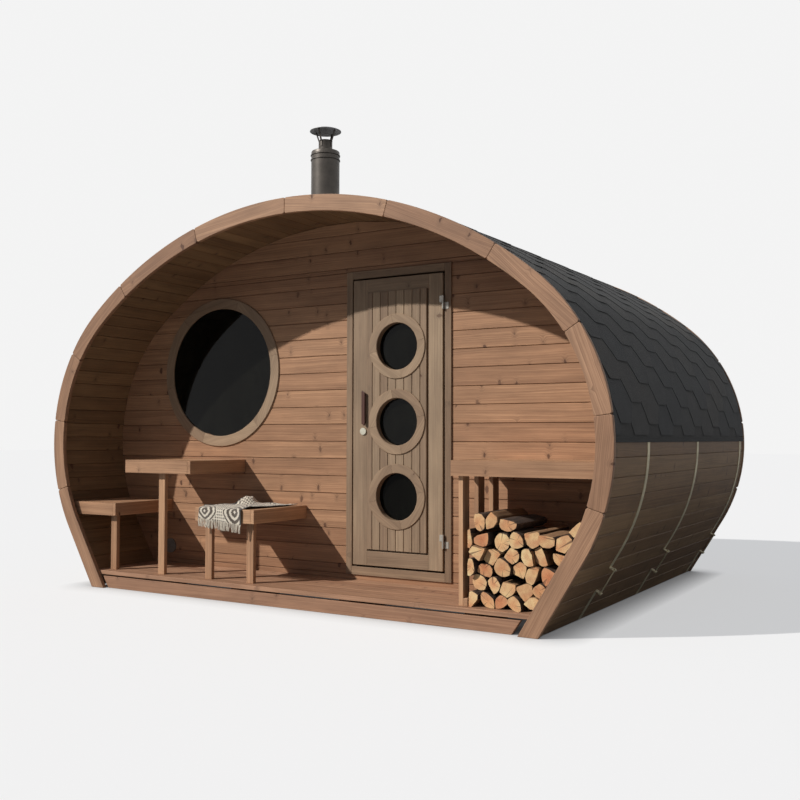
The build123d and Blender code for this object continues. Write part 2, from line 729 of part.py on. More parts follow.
def log_centres():
    """Centres of an uneven grid of logs, row by row"""
    draw = random.Random(LOG_SEED)
    centres = []
    for row in range(LOG_ROWS + 1):
        for column in range(LOG_COLUMNS):
            stagger = LOG_PITCH / 2 * (row % 2)
            x = LOG_LEFT + stagger + column * LOG_PITCH + draw.uniform(-1, 1) * LOG_JITTER
            z = FLOOR_TOP + (row + 0.5) * LOG_ROW + draw.uniform(-1, 1) * LOG_JITTER
            centres.append((x, z, row))
    return centres


def log_cell(centre, centres):
    """Outline of one log, inside the store and clear of the logs around it"""
    x, z, row = centre
    cell = [(x - LOG_PITCH, z - LOG_PITCH), (x + LOG_PITCH, z - LOG_PITCH)]
    cell += [(x + LOG_PITCH, z + LOG_PITCH), (x - LOG_PITCH, z + LOG_PITCH)]
    for other_x, other_z, other_row in centres:
        away = math.hypot(other_x - x, other_z - z)
        if away == 0 or away > 3 * LOG_PITCH:
            continue
        outward = ((other_x - x) / away, (other_z - z) / away)
        reach = (away - LOG_GAP) / 2
        cell = clip(cell, (x + outward[0] * reach, z + outward[1] * reach), outward)
    cell = clip(cell, (LOG_LEFT, 0), (-1, 0))
    cell = clip(cell, (0, FLOOR_TOP), (0, -1))
    down = math.radians(HIP_ANGLE)
    foot = foot_point(SHELL_INNER + LOG_GAP, 0)
    cell = clip(cell, foot, (math.cos(down), math.sin(down)))
    for quarter in range(4):
        angle = HIP_ANGLE * quarter / 4
        turn = math.radians(angle)
        edge = arc_point(SIDE_ARC, angle, SHELL_INNER + LOG_GAP)
        cell = clip(cell, edge, (math.cos(turn), math.sin(turn)))
    return cell


def area(corners):
    """Area of a polygon"""
    total = 0
    for index, (x, z) in enumerate(corners):
        before_x, before_z = corners[index - 1]
        total += before_x * z - x * before_z
    return abs(total) / 2


def split_log(centre, cell, draw):
    """Outline of a round, half or wedge that lies inside a cell"""
    spread, size = draw.choice(LOG_KINDS)
    reach = size * LOG_PITCH
    half = math.radians(spread / 2)
    turn = draw.uniform(0, 2 * math.pi)
    apart = 0 if spread == 360 else 2 * reach * math.sin(half) / (3 * half)
    x = centre[0] - apart * math.cos(turn)
    z = centre[1] - apart * math.sin(turn)
    steps = max(3, round(spread / LOG_ARC_STEP))
    outline = [] if spread == 360 else [(x, z)]
    for step in range(steps + (spread < 360)):
        bearing = turn - half + 2 * half * step / steps
        outline.append((x + reach * math.cos(bearing), z + reach * math.sin(bearing)))
    for index, corner in enumerate(cell):
        before = cell[index - 1]
        outline = clip(outline, corner, (corner[1] - before[1], before[0] - corner[0]))
    return outline


SMALLEST_LOG = 1800
centres = log_centres()
lengths = random.Random(LOG_SEED + 1)
shapes = random.Random(LOG_SEED + 2)
with BuildPart() as firewood:
    for centre in centres:
        cell = log_cell(centre, centres)
        set_back = LOG_FRONT + lengths.uniform(-1, 1) * LOG_FRONT_SPREAD
        dips = centre[2] == LOG_ROWS - 1 and HEAP_DIP[0] < centre[0] < HEAP_DIP[1]
        if centre[2] == LOG_ROWS or dips or len(cell) < 3 or area(cell) < SMALLEST_LOG:
            continue
        outline = split_log(centre, cell, shapes)
        if area(outline) < SMALLEST_LOG:
            outline = cell
        with BuildSketch(upright(set_back)):
            Polygon(*outline, align=None)
        extrude(amount=-LOG_LENGTH)
save(firewood.part, "firewood")

# Throw folded over the front edge of the right bench
with BuildPart() as throw:
    with BuildSketch(Plane.YZ.offset(THROW_LEFT)):
        with BuildLine():
            Polyline(
                (FRONT + TOP_FRONT - THROW_THICKNESS, RIGHT_BENCH[3] + THROW_THICKNESS),
                (FRONT + THROW_BACK, RIGHT_BENCH[3] + THROW_THICKNESS),
                (FRONT + THROW_BACK, RIGHT_BENCH[3]),
                (FRONT + TOP_FRONT, RIGHT_BENCH[3]),
                (FRONT + TOP_FRONT, RIGHT_BENCH[3] - THROW_DROP),
                (FRONT + TOP_FRONT - THROW_THICKNESS, RIGHT_BENCH[3] - THROW_DROP),
                close=True,
            )
        make_face()
    extrude(amount=THROW_RIGHT - THROW_LEFT)
save(throw.part, "throw")

# Chimney: an insulated pipe with beads, a narrower flue and a cone cap on struts
CHIMNEY_AXIS = Axis((CHIMNEY_X, FRONT + CHIMNEY_Y, 0), (0, 0, 1))
CHIMNEY_PLANE = Plane.XZ.offset(-(FRONT + CHIMNEY_Y))


def pipe_outline():
    """Right half of the pipe's section, from the bore outwards and up"""
    bore = CHIMNEY_X + FLUE_BORE
    wall = CHIMNEY_X + PIPE_RADIUS
    points = [(bore, PIPE_BOTTOM), (wall, PIPE_BOTTOM)]
    for bead_z in BEAD_HEIGHTS:
        points += [(wall, bead_z - BEAD), (wall + BEAD, bead_z), (wall, bead_z + BEAD)]
    flue = CHIMNEY_X + FLUE_RADIUS
    points += [(wall, PIPE_TOP), (flue, PIPE_TOP + 2 * BEAD), (flue, FLUE_TOP), (bore, FLUE_TOP)]
    return points


with BuildPart() as chimney_pipe:
    with BuildSketch(CHIMNEY_PLANE):
        Polygon(*pipe_outline(), align=None)
    revolve(axis=CHIMNEY_AXIS)
save(chimney_pipe.part, "chimney_pipe")

# Cap folded from sheet: the same steep taper outside and in
CAP_RISE = CAP_TOP - CAP_RIM
CAP_SLOPE = math.degrees(math.atan2(CAP_RADIUS - CAP_TIP, CAP_RISE))
with BuildPart() as chimney_cap:
    for rim_z, mode in ((CAP_RIM, Mode.ADD), (CAP_RIM - CAP_SHEET, Mode.SUBTRACT)):
        with BuildSketch(Plane((CHIMNEY_X, FRONT + CHIMNEY_Y, rim_z))):
            RegularPolygon(CAP_RADIUS, SHEET_SIDES)
        extrude(amount=CAP_RISE, taper=CAP_SLOPE, mode=mode)
save(chimney_cap.part, "chimney_cap")

# Height of the cap's underside where the struts meet it
STRUT_REACH = 0.75 * CAP_RADIUS
STRUT_TOP = CAP_TOP - CAP_SHEET - FIT - (CAP_TOP - CAP_RIM) * STRUT_REACH / CAP_RADIUS
STRUT_FOOT = FLUE_TOP - 45
with BuildPart() as cap_struts:
    with BuildSketch(CHIMNEY_PLANE):
        Polygon(
            (CHIMNEY_X + FLUE_RADIUS + FIT, STRUT_FOOT),
            (CHIMNEY_X + FLUE_RADIUS + FIT + STRUT_SHEET, STRUT_FOOT),
            (CHIMNEY_X + FLUE_RADIUS + FIT + STRUT_SHEET, FLUE_TOP - STRUT_WIDTH),
            (CHIMNEY_X + STRUT_REACH, STRUT_TOP),
            (CHIMNEY_X + STRUT_REACH - STRUT_WIDTH / 2, STRUT_TOP),
            (CHIMNEY_X + FLUE_RADIUS + FIT, FLUE_TOP - STRUT_WIDTH + STRUT_SHEET),
            align=None,
        )
    blade = extrude(amount=STRUT_WIDTH / 2, both=True, mode=Mode.PRIVATE)
    for count in range(STRUT_COUNT):
        add(blade.rotate(CHIMNEY_AXIS, count * 360 / STRUT_COUNT))
save(cap_struts.part, "cap_struts")

# Flashing that seals the pipe to the curved roof
COLLAR_FOOT = CROWN_HEIGHT - 2 * COLLAR_HEIGHT
COLLAR_EDGE = CROWN_HEIGHT - COLLAR_HEIGHT / 4
COLLAR_RISE = 0.75 * COLLAR_HEIGHT
COLLAR_SLOPE = math.degrees(math.atan2(COLLAR_RADIUS - PIPE_RADIUS - 2 * BEAD, COLLAR_RISE))
with BuildPart() as roof_collar:
    with BuildSketch(Plane((CHIMNEY_X, FRONT + CHIMNEY_Y, COLLAR_FOOT))):
        RegularPolygon(COLLAR_RADIUS, SHEET_SIDES)
    extrude(amount=COLLAR_EDGE - COLLAR_FOOT)
    with BuildSketch(Plane((CHIMNEY_X, FRONT + CHIMNEY_Y, COLLAR_EDGE))):
        RegularPolygon(COLLAR_RADIUS, SHEET_SIDES)
    extrude(amount=COLLAR_RISE, taper=COLLAR_SLOPE)
    with BuildSketch(Plane((CHIMNEY_X, FRONT + CHIMNEY_Y, 0))):
        RegularPolygon(PIPE_RADIUS + COLLAR_FIT, SHEET_SIDES, major_radius=False)
    extrude(amount=FAR, mode=Mode.SUBTRACT)
    with BuildSketch(upright(0)):
        add(oval(0))
    extrude(amount=-LENGTH, mode=Mode.SUBTRACT)
save(roof_collar.part, "roof_collar")
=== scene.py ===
"""Outdoor sauna: boards, shingles, logs, cloth and finishes around the solid model"""
import math
import random

import bmesh
import bpy
from mathutils import Matrix, Vector, noise


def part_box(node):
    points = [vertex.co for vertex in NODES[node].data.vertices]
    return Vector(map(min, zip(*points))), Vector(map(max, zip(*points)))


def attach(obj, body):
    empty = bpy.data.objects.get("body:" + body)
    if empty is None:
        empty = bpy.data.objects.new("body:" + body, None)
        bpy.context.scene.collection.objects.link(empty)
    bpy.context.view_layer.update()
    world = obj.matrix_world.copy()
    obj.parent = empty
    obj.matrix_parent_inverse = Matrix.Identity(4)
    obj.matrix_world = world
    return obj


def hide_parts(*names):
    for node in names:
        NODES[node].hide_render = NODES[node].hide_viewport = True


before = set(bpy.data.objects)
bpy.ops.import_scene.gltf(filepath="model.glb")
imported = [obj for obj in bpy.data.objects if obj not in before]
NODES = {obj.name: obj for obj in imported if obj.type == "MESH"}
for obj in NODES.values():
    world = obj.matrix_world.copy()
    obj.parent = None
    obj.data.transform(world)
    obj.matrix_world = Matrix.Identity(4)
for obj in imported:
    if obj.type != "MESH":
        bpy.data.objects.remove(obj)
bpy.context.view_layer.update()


def low(node):
    """Lowest corner of a node"""
    return Vector(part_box(node)[0])


def high(node):
    """Highest corner of a node"""
    return Vector(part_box(node)[1])


# Outline of the oval, in metres, with the same driving dimensions as the solids
FRONT = low("front_ring").y
BACK = high("rear_ring").y
HALF_WIDTH = high("front_ring").x
CROWN_HEIGHT = high("front_ring").z
SIDE_RADIUS = 1.13
SIDE_HEIGHT = 0.97
FOOT_HALF_WIDTH = 1.602
RING_THICKNESS = high("front_ring").y - FRONT
SHELL_INSET = 0.006
STAVE = 0.04
WALL_FACE = low("front_wall_left").y
WALL_BACK = high("front_wall_left").y
SIDE_X = HALF_WIDTH - SIDE_RADIUS
RISE = CROWN_HEIGHT - SIDE_HEIGHT
TOP_RADIUS = (SIDE_X**2 + RISE**2 - SIDE_RADIUS**2) / (2 * (RISE - SIDE_RADIUS))
TOP_HEIGHT = CROWN_HEIGHT - TOP_RADIUS
SHOULDER_ANGLE = math.atan2(SIDE_HEIGHT - TOP_HEIGHT, SIDE_X)
FOOT_SPAN = math.hypot(FOOT_HALF_WIDTH - SIDE_X, SIDE_HEIGHT)
HIP_ANGLE = math.atan2(-SIDE_HEIGHT, FOOT_HALF_WIDTH - SIDE_X) + math.acos(SIDE_RADIUS / FOOT_SPAN)
TOP_RUN = TOP_RADIUS * (math.pi / 2 - SHOULDER_ANGLE)
HIP_RUN = TOP_RUN + SIDE_RADIUS * (SHOULDER_ANGLE - HIP_ANGLE)
HIP = (SIDE_X + SIDE_RADIUS * math.cos(HIP_ANGLE), SIDE_HEIGHT + SIDE_RADIUS * math.sin(HIP_ANGLE))
FULL_RUN = HIP_RUN + HIP[1] / math.cos(HIP_ANGLE)


def rim(run, inset=0.0, side=1):
    """Point (x, z) of the outline at a run down from the crown, moved in by an inset"""
    if run < TOP_RUN:
        angle = math.pi / 2 - run / TOP_RADIUS
        reach = TOP_RADIUS - inset
        return (side * reach * math.cos(angle), TOP_HEIGHT + reach * math.sin(angle))
    if run < HIP_RUN:
        angle = SHOULDER_ANGLE - (run - TOP_RUN) / SIDE_RADIUS
        reach = SIDE_RADIUS - inset
        return (side * (SIDE_X + reach * math.cos(angle)), SIDE_HEIGHT + reach * math.sin(angle))
    down = run - HIP_RUN
    x = HIP[0] - inset * math.cos(HIP_ANGLE) + down * math.sin(HIP_ANGLE)
    z = HIP[1] - inset * math.sin(HIP_ANGLE) - down * math.cos(HIP_ANGLE)
    return (side * x, z)


def half_width(z, inset):
    """Half width of the outline at a height, moved in by an inset"""
    reach = SIDE_RADIUS - inset
    hip_z = SIDE_HEIGHT + reach * math.sin(HIP_ANGLE)
    if z > SIDE_HEIGHT + reach * math.sin(SHOULDER_ANGLE):
        return math.sqrt(max(0.0, (TOP_RADIUS - inset) ** 2 - (z - TOP_HEIGHT) ** 2))
    if z > hip_z:
        return SIDE_X + math.sqrt(reach**2 - (z - SIDE_HEIGHT) ** 2)
    return SIDE_X + reach * math.cos(HIP_ANGLE) - (hip_z - z) * math.tan(-HIP_ANGLE)


# Materials
BLACK, GREY, WHITE = 0.0, 0.5, 1.0


def linear(colour):
    """Linear colour from a display colour given as 0 to 255"""
    parts = [part / 255 for part in colour]
    parts = [part / 12.92 if part < 0.04045 else ((part + 0.055) / 1.055) ** 2.4 for part in parts]
    return parts + [1]


def paint(colour):
    """Linear colour from a grey level, a display colour, or four linear values"""
    if isinstance(colour, float):
        return (colour, colour, colour, 1)
    return colour if len(colour) == 4 else linear(colour)


class Graph:
    """Adds nodes and links to one shader tree"""

    def __init__(self, tree):
        self.tree = tree

    def set(self, socket, value):
        """Links a socket to another one, or gives it a plain value"""
        if isinstance(value, bpy.types.NodeSocket):
            self.tree.links.new(value, socket)
        else:
            socket.default_value = value

    def node(self, kind, values=(), **settings):
        """New node with its settings, and its inputs from values or links"""
        made = self.tree.nodes.new("ShaderNode" + kind)
        for key, value in settings.items():
            setattr(made, key, value)
        for key, value in dict(values).items():
            self.set(made.inputs[key], value)
        return made

    def math(self, operation, first, second=0.0, third=0.0):
        """Result of one sum"""
        return self.node("Math", {0: first, 1: second, 2: third}, operation=operation).outputs[0]

    def times(self, first, second):
        """Product"""
        return self.math("MULTIPLY", first, second)

    def plus(self, first, second):
        """Sum"""
        return self.math("ADD", first, second)

    def fit(self, value, factor, shift):
        """Value times a factor, plus a shift"""
        return self.math("MULTIPLY_ADD", value, factor, shift)

    def attribute(self, name, output="Fac"):
        """Value of a mesh attribute"""
        return self.node("Attribute", attribute_name=name).outputs[output]

    def place(self):
        """Place on the piece, in metres"""
        return self.node("TexCoord").outputs["Object"]

    def split(self, vector):
        """The three parts of a vector"""
        return self.node("SeparateXYZ", {0: vector}).outputs

    def join(self, x, y):
        """Flat vector from two values"""
        return self.node("CombineXYZ", {0: x, 1: y, 2: 0.0}).outputs[0]

    def scaled(self, vector, scale, shift=(0, 0, 0)):
        """Vector multiplied by a scale, then moved"""
        values = {"Vector": vector, "Scale": scale, "Location": shift}
        return self.node("Mapping", values).outputs[0]

    def noise(self, vector, scale, detail=3.0, roughness=0.5, distortion=0.0):
        """Noise over a vector, with one scale or one for each direction"""
        if isinstance(scale, tuple):
            vector, scale = self.scaled(vector, scale), 1.0
        values = {"Vector": vector, "Scale": scale, "Detail": detail}
        values.update({"Roughness": roughness, "Distortion": distortion})
        return self.node("TexNoise", values).outputs["Fac"]

    def cells(self, vector, scale, shift=(0, 0, 0)):
        """Distance to the nearest of scattered points, and three chances for each point"""
        values = {"Vector": self.scaled(vector, scale, shift), "Scale": 1.0}
        made = self.node("TexVoronoi", values, voronoi_dimensions="2D")
        return made.outputs["Distance"], self.split(made.outputs["Color"])

    def ramp(self, value, *stops, interpolation="LINEAR"):
        """Colour ramp through (place, colour) stops"""
        made = self.node("ValToRGB", {0: value})
        points = made.color_ramp.elements
        while len(points) < len(stops):
            points.new(0.5)
        for point, (place, colour) in zip(points, stops):
            point.position = place
            point.color = paint(colour)
        made.color_ramp.interpolation = interpolation
        return made.outputs[0]

    def mix(self, share, first, second, blend="MIX"):
        """Mix of two colours"""
        values = {0: share, 6: first, 7: second}
        return self.node("Mix", values, data_type="RGBA", blend_type=blend).outputs[2]

    def overlay(self, share, colour, value, *stops):
        """Colour made darker or lighter by a ramp, where a half leaves it as it is"""
        return self.mix(share, colour, self.ramp(value, *stops), "OVERLAY")


class Shader(Graph):
    """Graph of one new material"""

    def __init__(self, name):
        self.material = bpy.data.materials.new(name)
        self.material.use_nodes = True
        super().__init__(self.material.node_tree)
        self.surface = self.tree.nodes["Principled BSDF"]

    def finish(self, colour, roughness=0.6, height=None, depth=0.001, strength=0.6, **plain):
        """Colour, roughness, bump and plain values on the surface"""
        plain.update({"Base Color": colour, "Roughness": roughness})
        if height is not None:
            values = {"Height": height, "Distance": depth, "Strength": strength}
            plain["Normal"] = self.node("Bump", values).outputs[0]
        for key, value in plain.items():
            self.set(self.surface.inputs[key.replace("_", " ")], value)
        return self.material


def wood(name, pale, dark, knot=(84, 54, 38), contrast=1.0, knots=1.0, roughness=0.6):
    """Planed board: the grain attribute gives metres along, across and through it"""
    s = Shader(name)
    grain = s.attribute("grain", "Vector")
    along, across, through = s.split(grain)
    warp = s.noise(grain, (1.1, 6.0, 5.0), detail=2.0)
    crook = s.noise(grain, (12.0, 45.0, 1.0), detail=2.0)
    fibre = s.noise(grain, (6.0, 420.0, 420.0), detail=4.0, roughness=0.65)
    cloud = s.noise(grain, (2.6, 11.0, 11.0), detail=5.0, roughness=0.6)

    # Knots, and the grain that is pulled round them
    knot_place = s.join(s.fit(crook, 0.022, along), across)
    away, chance = s.cells(knot_place, (10.0, 5.0, 1.0))
    present = s.math("GREATER_THAN", chance[0], 1.0 - 0.36 * knots)
    knot_reach = s.fit(s.math("POWER", chance[1], 2.0), 0.1, 0.022)
    pull = s.math("MAXIMUM", s.math("SUBTRACT", 1.0, s.times(away, 3.2)), 0.0)
    pull = s.times(s.math("POWER", pull, 2.0), present)
    bent = s.fit(pull, 0.03, s.fit(warp, 0.05, across))

    # Growth rings, broad streaks, fibres, clouds and the tone of each board
    pith = s.join(bent, s.fit(along, 0.01, through))
    rings = s.noise(pith, (170.0, 70.0, 1.0), detail=2.0, roughness=0.6)
    broad = s.noise(pith, (26.0, 16.0, 1.0), detail=2.0)
    mid = [(first + second) / 2 for first, second in zip(pale, dark)]
    spread = 0.3 / contrast
    colour = s.ramp(rings, (0.5 - spread, dark), (0.5, mid), (0.5 + spread, pale))
    colour = s.overlay(0.8, colour, broad, (0.3, (0.45, 0.44, 0.435, 1)), (0.7, 0.55))
    colour = s.overlay(0.8, colour, fibre, (0.3, 0.42), (0.7, 0.58))
    deep, bright = (0.38, 0.375, 0.37, 1), (0.62, 0.62, 0.61, 1)
    colour = s.overlay(0.75, colour, cloud, (0.3, deep), (0.7, bright))
    deep, bright = (0.38, 0.365, 0.36, 1), (0.58, 0.6, 0.6, 1)
    colour = s.overlay(0.8, colour, s.attribute("tone"), (0.0, deep), (1.0, bright))
    colour = s.mix(s.times(pull, 0.55), colour, linear([part * 0.72 for part in dark]))
    ragged = s.fit(fibre, 0.04, s.math("SUBTRACT", away, 0.02))
    spot = s.times(s.math("LESS_THAN", ragged, knot_reach), present)
    colour = s.mix(s.times(spot, s.fit(chance[2], 0.45, 0.45)), colour, linear(knot))

    # Drying splits
    near, chance = s.cells(knot_place, (1.6, 9.0, 1.0), (5.3, 2.7, 0.0))
    line = s.math("FRACT", s.times(s.fit(warp, 0.02, across), 27.0))
    line = s.math("LESS_THAN", line, s.fit(near, -0.35, 0.07))
    crack = s.times(line, s.math("GREATER_THAN", chance[0], 1.0 - 0.16 * knots))
    colour = s.mix(s.times(crack, 0.7), colour, linear(knot))
    height = s.math("SUBTRACT", s.plus(s.times(fibre, 0.6), s.times(rings, 0.4)), crack)
    rough = s.fit(fibre, 0.25, roughness - 0.12)
    return s.finish(colour, rough, height, 0.0008, 0.5, Specular_IOR_Level=0.3)


def bitumen():
    """Mineral-faced shingle with uneven grit, and a darker outline that is painted shade along the
    tabs and on the sheet under them
    """
    s = Shader("shingle")
    grit = s.noise(s.place(), 900.0, detail=2.0, roughness=0.8)
    cloud = s.noise(s.place(), 9.0, detail=4.0)
    tone = s.attribute("tone")
    colour = s.ramp(tone, (0.0, (44, 45, 46)), (0.6, (51, 51, 51)), (1.0, (60, 58, 56)))
    colour = s.overlay(0.8, colour, grit, (0.35, 0.3), (0.65, 0.7))
    colour = s.overlay(0.7, colour, cloud, (0.3, 0.4), (0.7, (0.6, 0.59, 0.57, 1)))
    # Painted shade: a low edge value darkens the lower edges and sides of the tabs and caps, and
    # the underlay between them
    line = s.ramp(s.attribute("edge"), (0.0, BLACK), (0.75, WHITE))
    return s.finish(s.mix(0.85, colour, line, "MULTIPLY"), 0.9, grit, 0.0012, 0.8)


def metal(name, colour, roughness=0.4, metallic=1.0, wear=0.5):
    """Sheet or turned metal with fine brushing and patches of dullness"""
    s = Shader(name)
    brush = s.noise(s.place(), (60.0, 60.0, 900.0))
    cloud = s.noise(s.place(), 14.0, detail=5.0, roughness=0.6)
    dull = linear([part * (1 - 0.35 * wear) for part in colour])
    tint = s.mix(s.ramp(cloud, (0.35, BLACK), (0.7, WHITE)), linear(colour), dull)
    rough = s.fit(cloud, 0.3 * wear, roughness - 0.1 * wear)
    return s.finish(tint, rough, brush, 0.0002, 0.25, Metallic=metallic)


def glass():
    """Dark tinted pane, with faint streaks left by wiping in its roughness, and a tint mottled in
    darker and lighter olive patches
    """
    s = Shader("dark_glass")
    tint_mottle = s.noise(s.place(), (7.0, 1.0, 3.0), detail=5.0, roughness=0.6, distortion=0.8)
    streak = s.noise(s.place(), (26.0, 1.0, 5.0))
    # The tint is mottled in darker and lighter olive patches
    tint = s.ramp(tint_mottle, (0.3, (8, 7, 6)), (0.7, (20, 20, 16)))
    return s.finish(tint, s.fit(streak, 0.05, 0.02), Alpha=0.9, Specular_IOR_Level=0.15)


def log_end():
    """Sawn end of a log: rings round the pith, splits that run out from it, and a darker rim"""
    s = Shader("log_end")
    grain = s.attribute("grain", "Vector")
    along, across, up = s.split(grain)
    flat = s.join(across, up)
    radius = s.node("VectorMath", {0: flat}, operation="LENGTH").outputs["Value"]
    wobble = s.noise(grain, (1.0, 22.0, 22.0))
    fuzz = s.noise(grain, (1.0, 500.0, 160.0), roughness=0.7)
    ring = s.math("SINE", s.plus(s.times(radius, 1100.0), s.times(wobble, 7.0)))
    ring = s.fit(ring, 0.5, 0.5)
    colour = s.ramp(ring, (0.0, (198, 160, 116)), (0.6, (214, 178, 134)), (1.0, (220, 188, 146)))
    heart = s.times(radius, 14.0)
    colour = s.overlay(0.8, colour, heart, (0.1, (0.47, 0.37, 0.33, 1)), (0.6, GREY))
    deep, bright = (0.3, 0.28, 0.26, 1), (0.64, 0.63, 0.61, 1)
    colour = s.overlay(0.7, colour, wobble, (0.32, deep), (0.68, bright))
    deep, bright = (0.36, 0.35, 0.33, 1), (0.64, 0.64, 0.63, 1)
    colour = s.overlay(0.8, colour, fuzz, (0.3, deep), (0.7, bright))
    red, mid, bright = (0.4, 0.3, 0.27, 1), (0.45, 0.43, 0.41, 1), (0.58, 0.59, 0.59, 1)
    colour = s.overlay(0.9, colour, s.attribute("tone"), (0.0, red), (0.25, mid), (1.0, bright))
    bearing = s.math("ARCTAN2", across, up)
    rays = s.noise(s.join(s.times(bearing, 3.4), along), (1.0, 3.0, 1.0), detail=1.0)
    gape = s.math("GREATER_THAN", rays, 0.655)
    gape = s.times(gape, s.math("GREATER_THAN", radius, 0.004))
    colour = s.mix(s.times(gape, 0.75), colour, linear((88, 58, 40)))
    edge = s.ramp(s.attribute("edge"), (0.1, WHITE), (0.8, BLACK))
    colour = s.mix(s.times(edge, 0.55), colour, linear((112, 80, 57)))
    return s.finish(colour, 0.8, fuzz, 0.002, 0.6)


def log_side():
    """Torn face of a split log"""
    s = Shader("log_side")
    fibre = s.noise(s.attribute("grain", "Vector"), (9.0, 240.0, 240.0), detail=4.0, roughness=0.7)
    colour = s.ramp(fibre, (0.3, (118, 84, 58)), (0.7, (176, 138, 100)))
    return s.finish(colour, 0.85, fibre, 0.004, 0.8)


def bark():
    """Furrowed brown bark"""
    s = Shader("bark")
    furrow = s.noise(s.attribute("grain", "Vector"), (14.0, 60.0, 60.0), detail=5.0, roughness=0.7)
    colour = s.ramp(furrow, (0.35, (36, 25, 19)), (0.55, (74, 56, 44)), (0.75, (118, 97, 80)))
    return s.finish(colour, 0.92, furrow, 0.006, 1.0)


def weave():
    """Cotton throw with woven medallions of stepped rings, and dots between them"""
    medallion, dot, thread, step = 0.24, 0.018, 0.0022, 0.0045
    roundness = 1.4
    s = Shader("weave")
    cloth = s.attribute("grain", "Vector")
    across, along, _ = s.split(cloth)

    def saw(value, pitch):
        """Distance from the middle of the repeat, from 0 to 1"""
        share = s.math("FRACT", s.math("DIVIDE", value, pitch))
        return s.math("ABSOLUTE", s.fit(share, 2.0, -1.0))

    step_across = s.math("SNAP", s.plus(across, 0.065), step)
    step_along = s.math("SNAP", s.plus(along, 0.06), step)
    wide = s.math("POWER", saw(step_across, medallion), roundness)
    tall = s.math("POWER", saw(step_along, medallion), roundness)
    away = s.math("POWER", s.plus(wide, tall), 1 / roundness)
    inner = ((0.0, WHITE), (0.08, BLACK), (0.24, WHITE), (0.37, BLACK), (0.52, WHITE))
    outer = ((0.0, WHITE), (0.66, BLACK), (0.75, WHITE))
    bands = [s.ramp(away, *stops, interpolation="CONSTANT") for stops in (inner, outer)]
    dots = s.math("GREATER_THAN", s.plus(saw(step_across, dot), saw(step_along, dot)), 0.8)
    dots = s.math("MAXIMUM", dots, s.math("LESS_THAN", away, 0.8))
    pale = s.mix(1.0, s.mix(1.0, *bands, "MULTIPLY"), dots, "MULTIPLY")
    fuzz = s.noise(cloth, 700.0, detail=2.0)
    colour = s.mix(pale, linear((88, 77, 66)), linear((226, 216, 198)))
    colour = s.overlay(0.8, colour, fuzz, (0.3, 0.4), (0.7, 0.6))
    # The strip along the cloth's right edge is coloured dark brown
    dark_right_strip = s.math("LESS_THAN", s.attribute("edge"), 0.5)
    colour = s.mix(dark_right_strip, colour, linear((58, 50, 44)))
    height = s.plus(s.times(saw(across, thread), saw(along, thread)), fuzz)
    return s.finish(colour, 0.92, height, 0.0012, 0.8, Sheen_Weight=0.3)


def cotton():
    """Undyed twisted yarn"""
    s = Shader("cotton")
    twist = s.noise(s.place(), (300.0, 300.0, 900.0), detail=2.0)
    colour = s.ramp(twist, (0.3, (196, 187, 170)), (0.7, (238, 230, 215)))
    return s.finish(colour, 0.9, twist)


WALL_WOOD = wood("wall_wood", (183, 140, 107), (136, 100, 75))
STAVE_WOOD = wood("stave_wood", (150, 119, 86), (108, 84, 60), contrast=0.9, knots=0.6)
RING_WOOD = wood("ring_wood", (184, 145, 115), (134, 101, 79), contrast=1.1, knots=0.9)
DECK_WOOD = wood("deck_wood", (182, 142, 114), (140, 104, 82))
FRAME_WOOD = wood("frame_wood", (160, 138, 114), (130, 108, 88), knots=0.3)
JAMB_WOOD = wood("jamb_wood", (144, 120, 97), (114, 92, 74), knots=0.3)
TRIM_WOOD = wood("trim_wood", (164, 140, 115), (134, 111, 90), knots=0.15)
TOP_WOOD = wood("top_wood", (196, 154, 119), (152, 115, 88), knots=0.4)
HANDLE_WOOD = wood("handle_wood", (92, 62, 52), (58, 36, 32), knots=0.0, roughness=0.4)
CHIMNEY_STEEL = metal("chimney_steel", (86, 80, 74), roughness=0.42, metallic=0.55, wear=0.6)
CAP_STEEL = metal("cap_steel", (196, 196, 195), roughness=0.45, metallic=0.3, wear=0.6)
BAND_STEEL = metal("band_steel", (216, 204, 170), roughness=0.5, metallic=0.4)
HINGE_STEEL = metal("hinge_steel", (176, 171, 161), metallic=0.4)
LOCK_METAL = metal("lock_metal", (206, 202, 184), metallic=0.5)
VENT_METAL = metal("vent_metal", (124, 119, 112), roughness=0.5, metallic=0.2)
SHINGLE = bitumen()
GLASS = glass()
LOG_MATERIALS = [log_end(), log_side(), bark()]
WEAVE = weave()
COTTON = cotton()


# Mesh building
def full_turn(steps):
    """Cosine and sine at equal steps round a full turn, with the first place again at the end"""
    turns = [2 * math.pi * step / steps for step in range(steps + 1)]
    return [(math.cos(turn), math.sin(turn)) for turn in turns]


def sheet_loops(profile, places):
    """The same (x, z) profile at several places along Y"""
    return [[(x, y, z) for x, z in profile] for y in places]


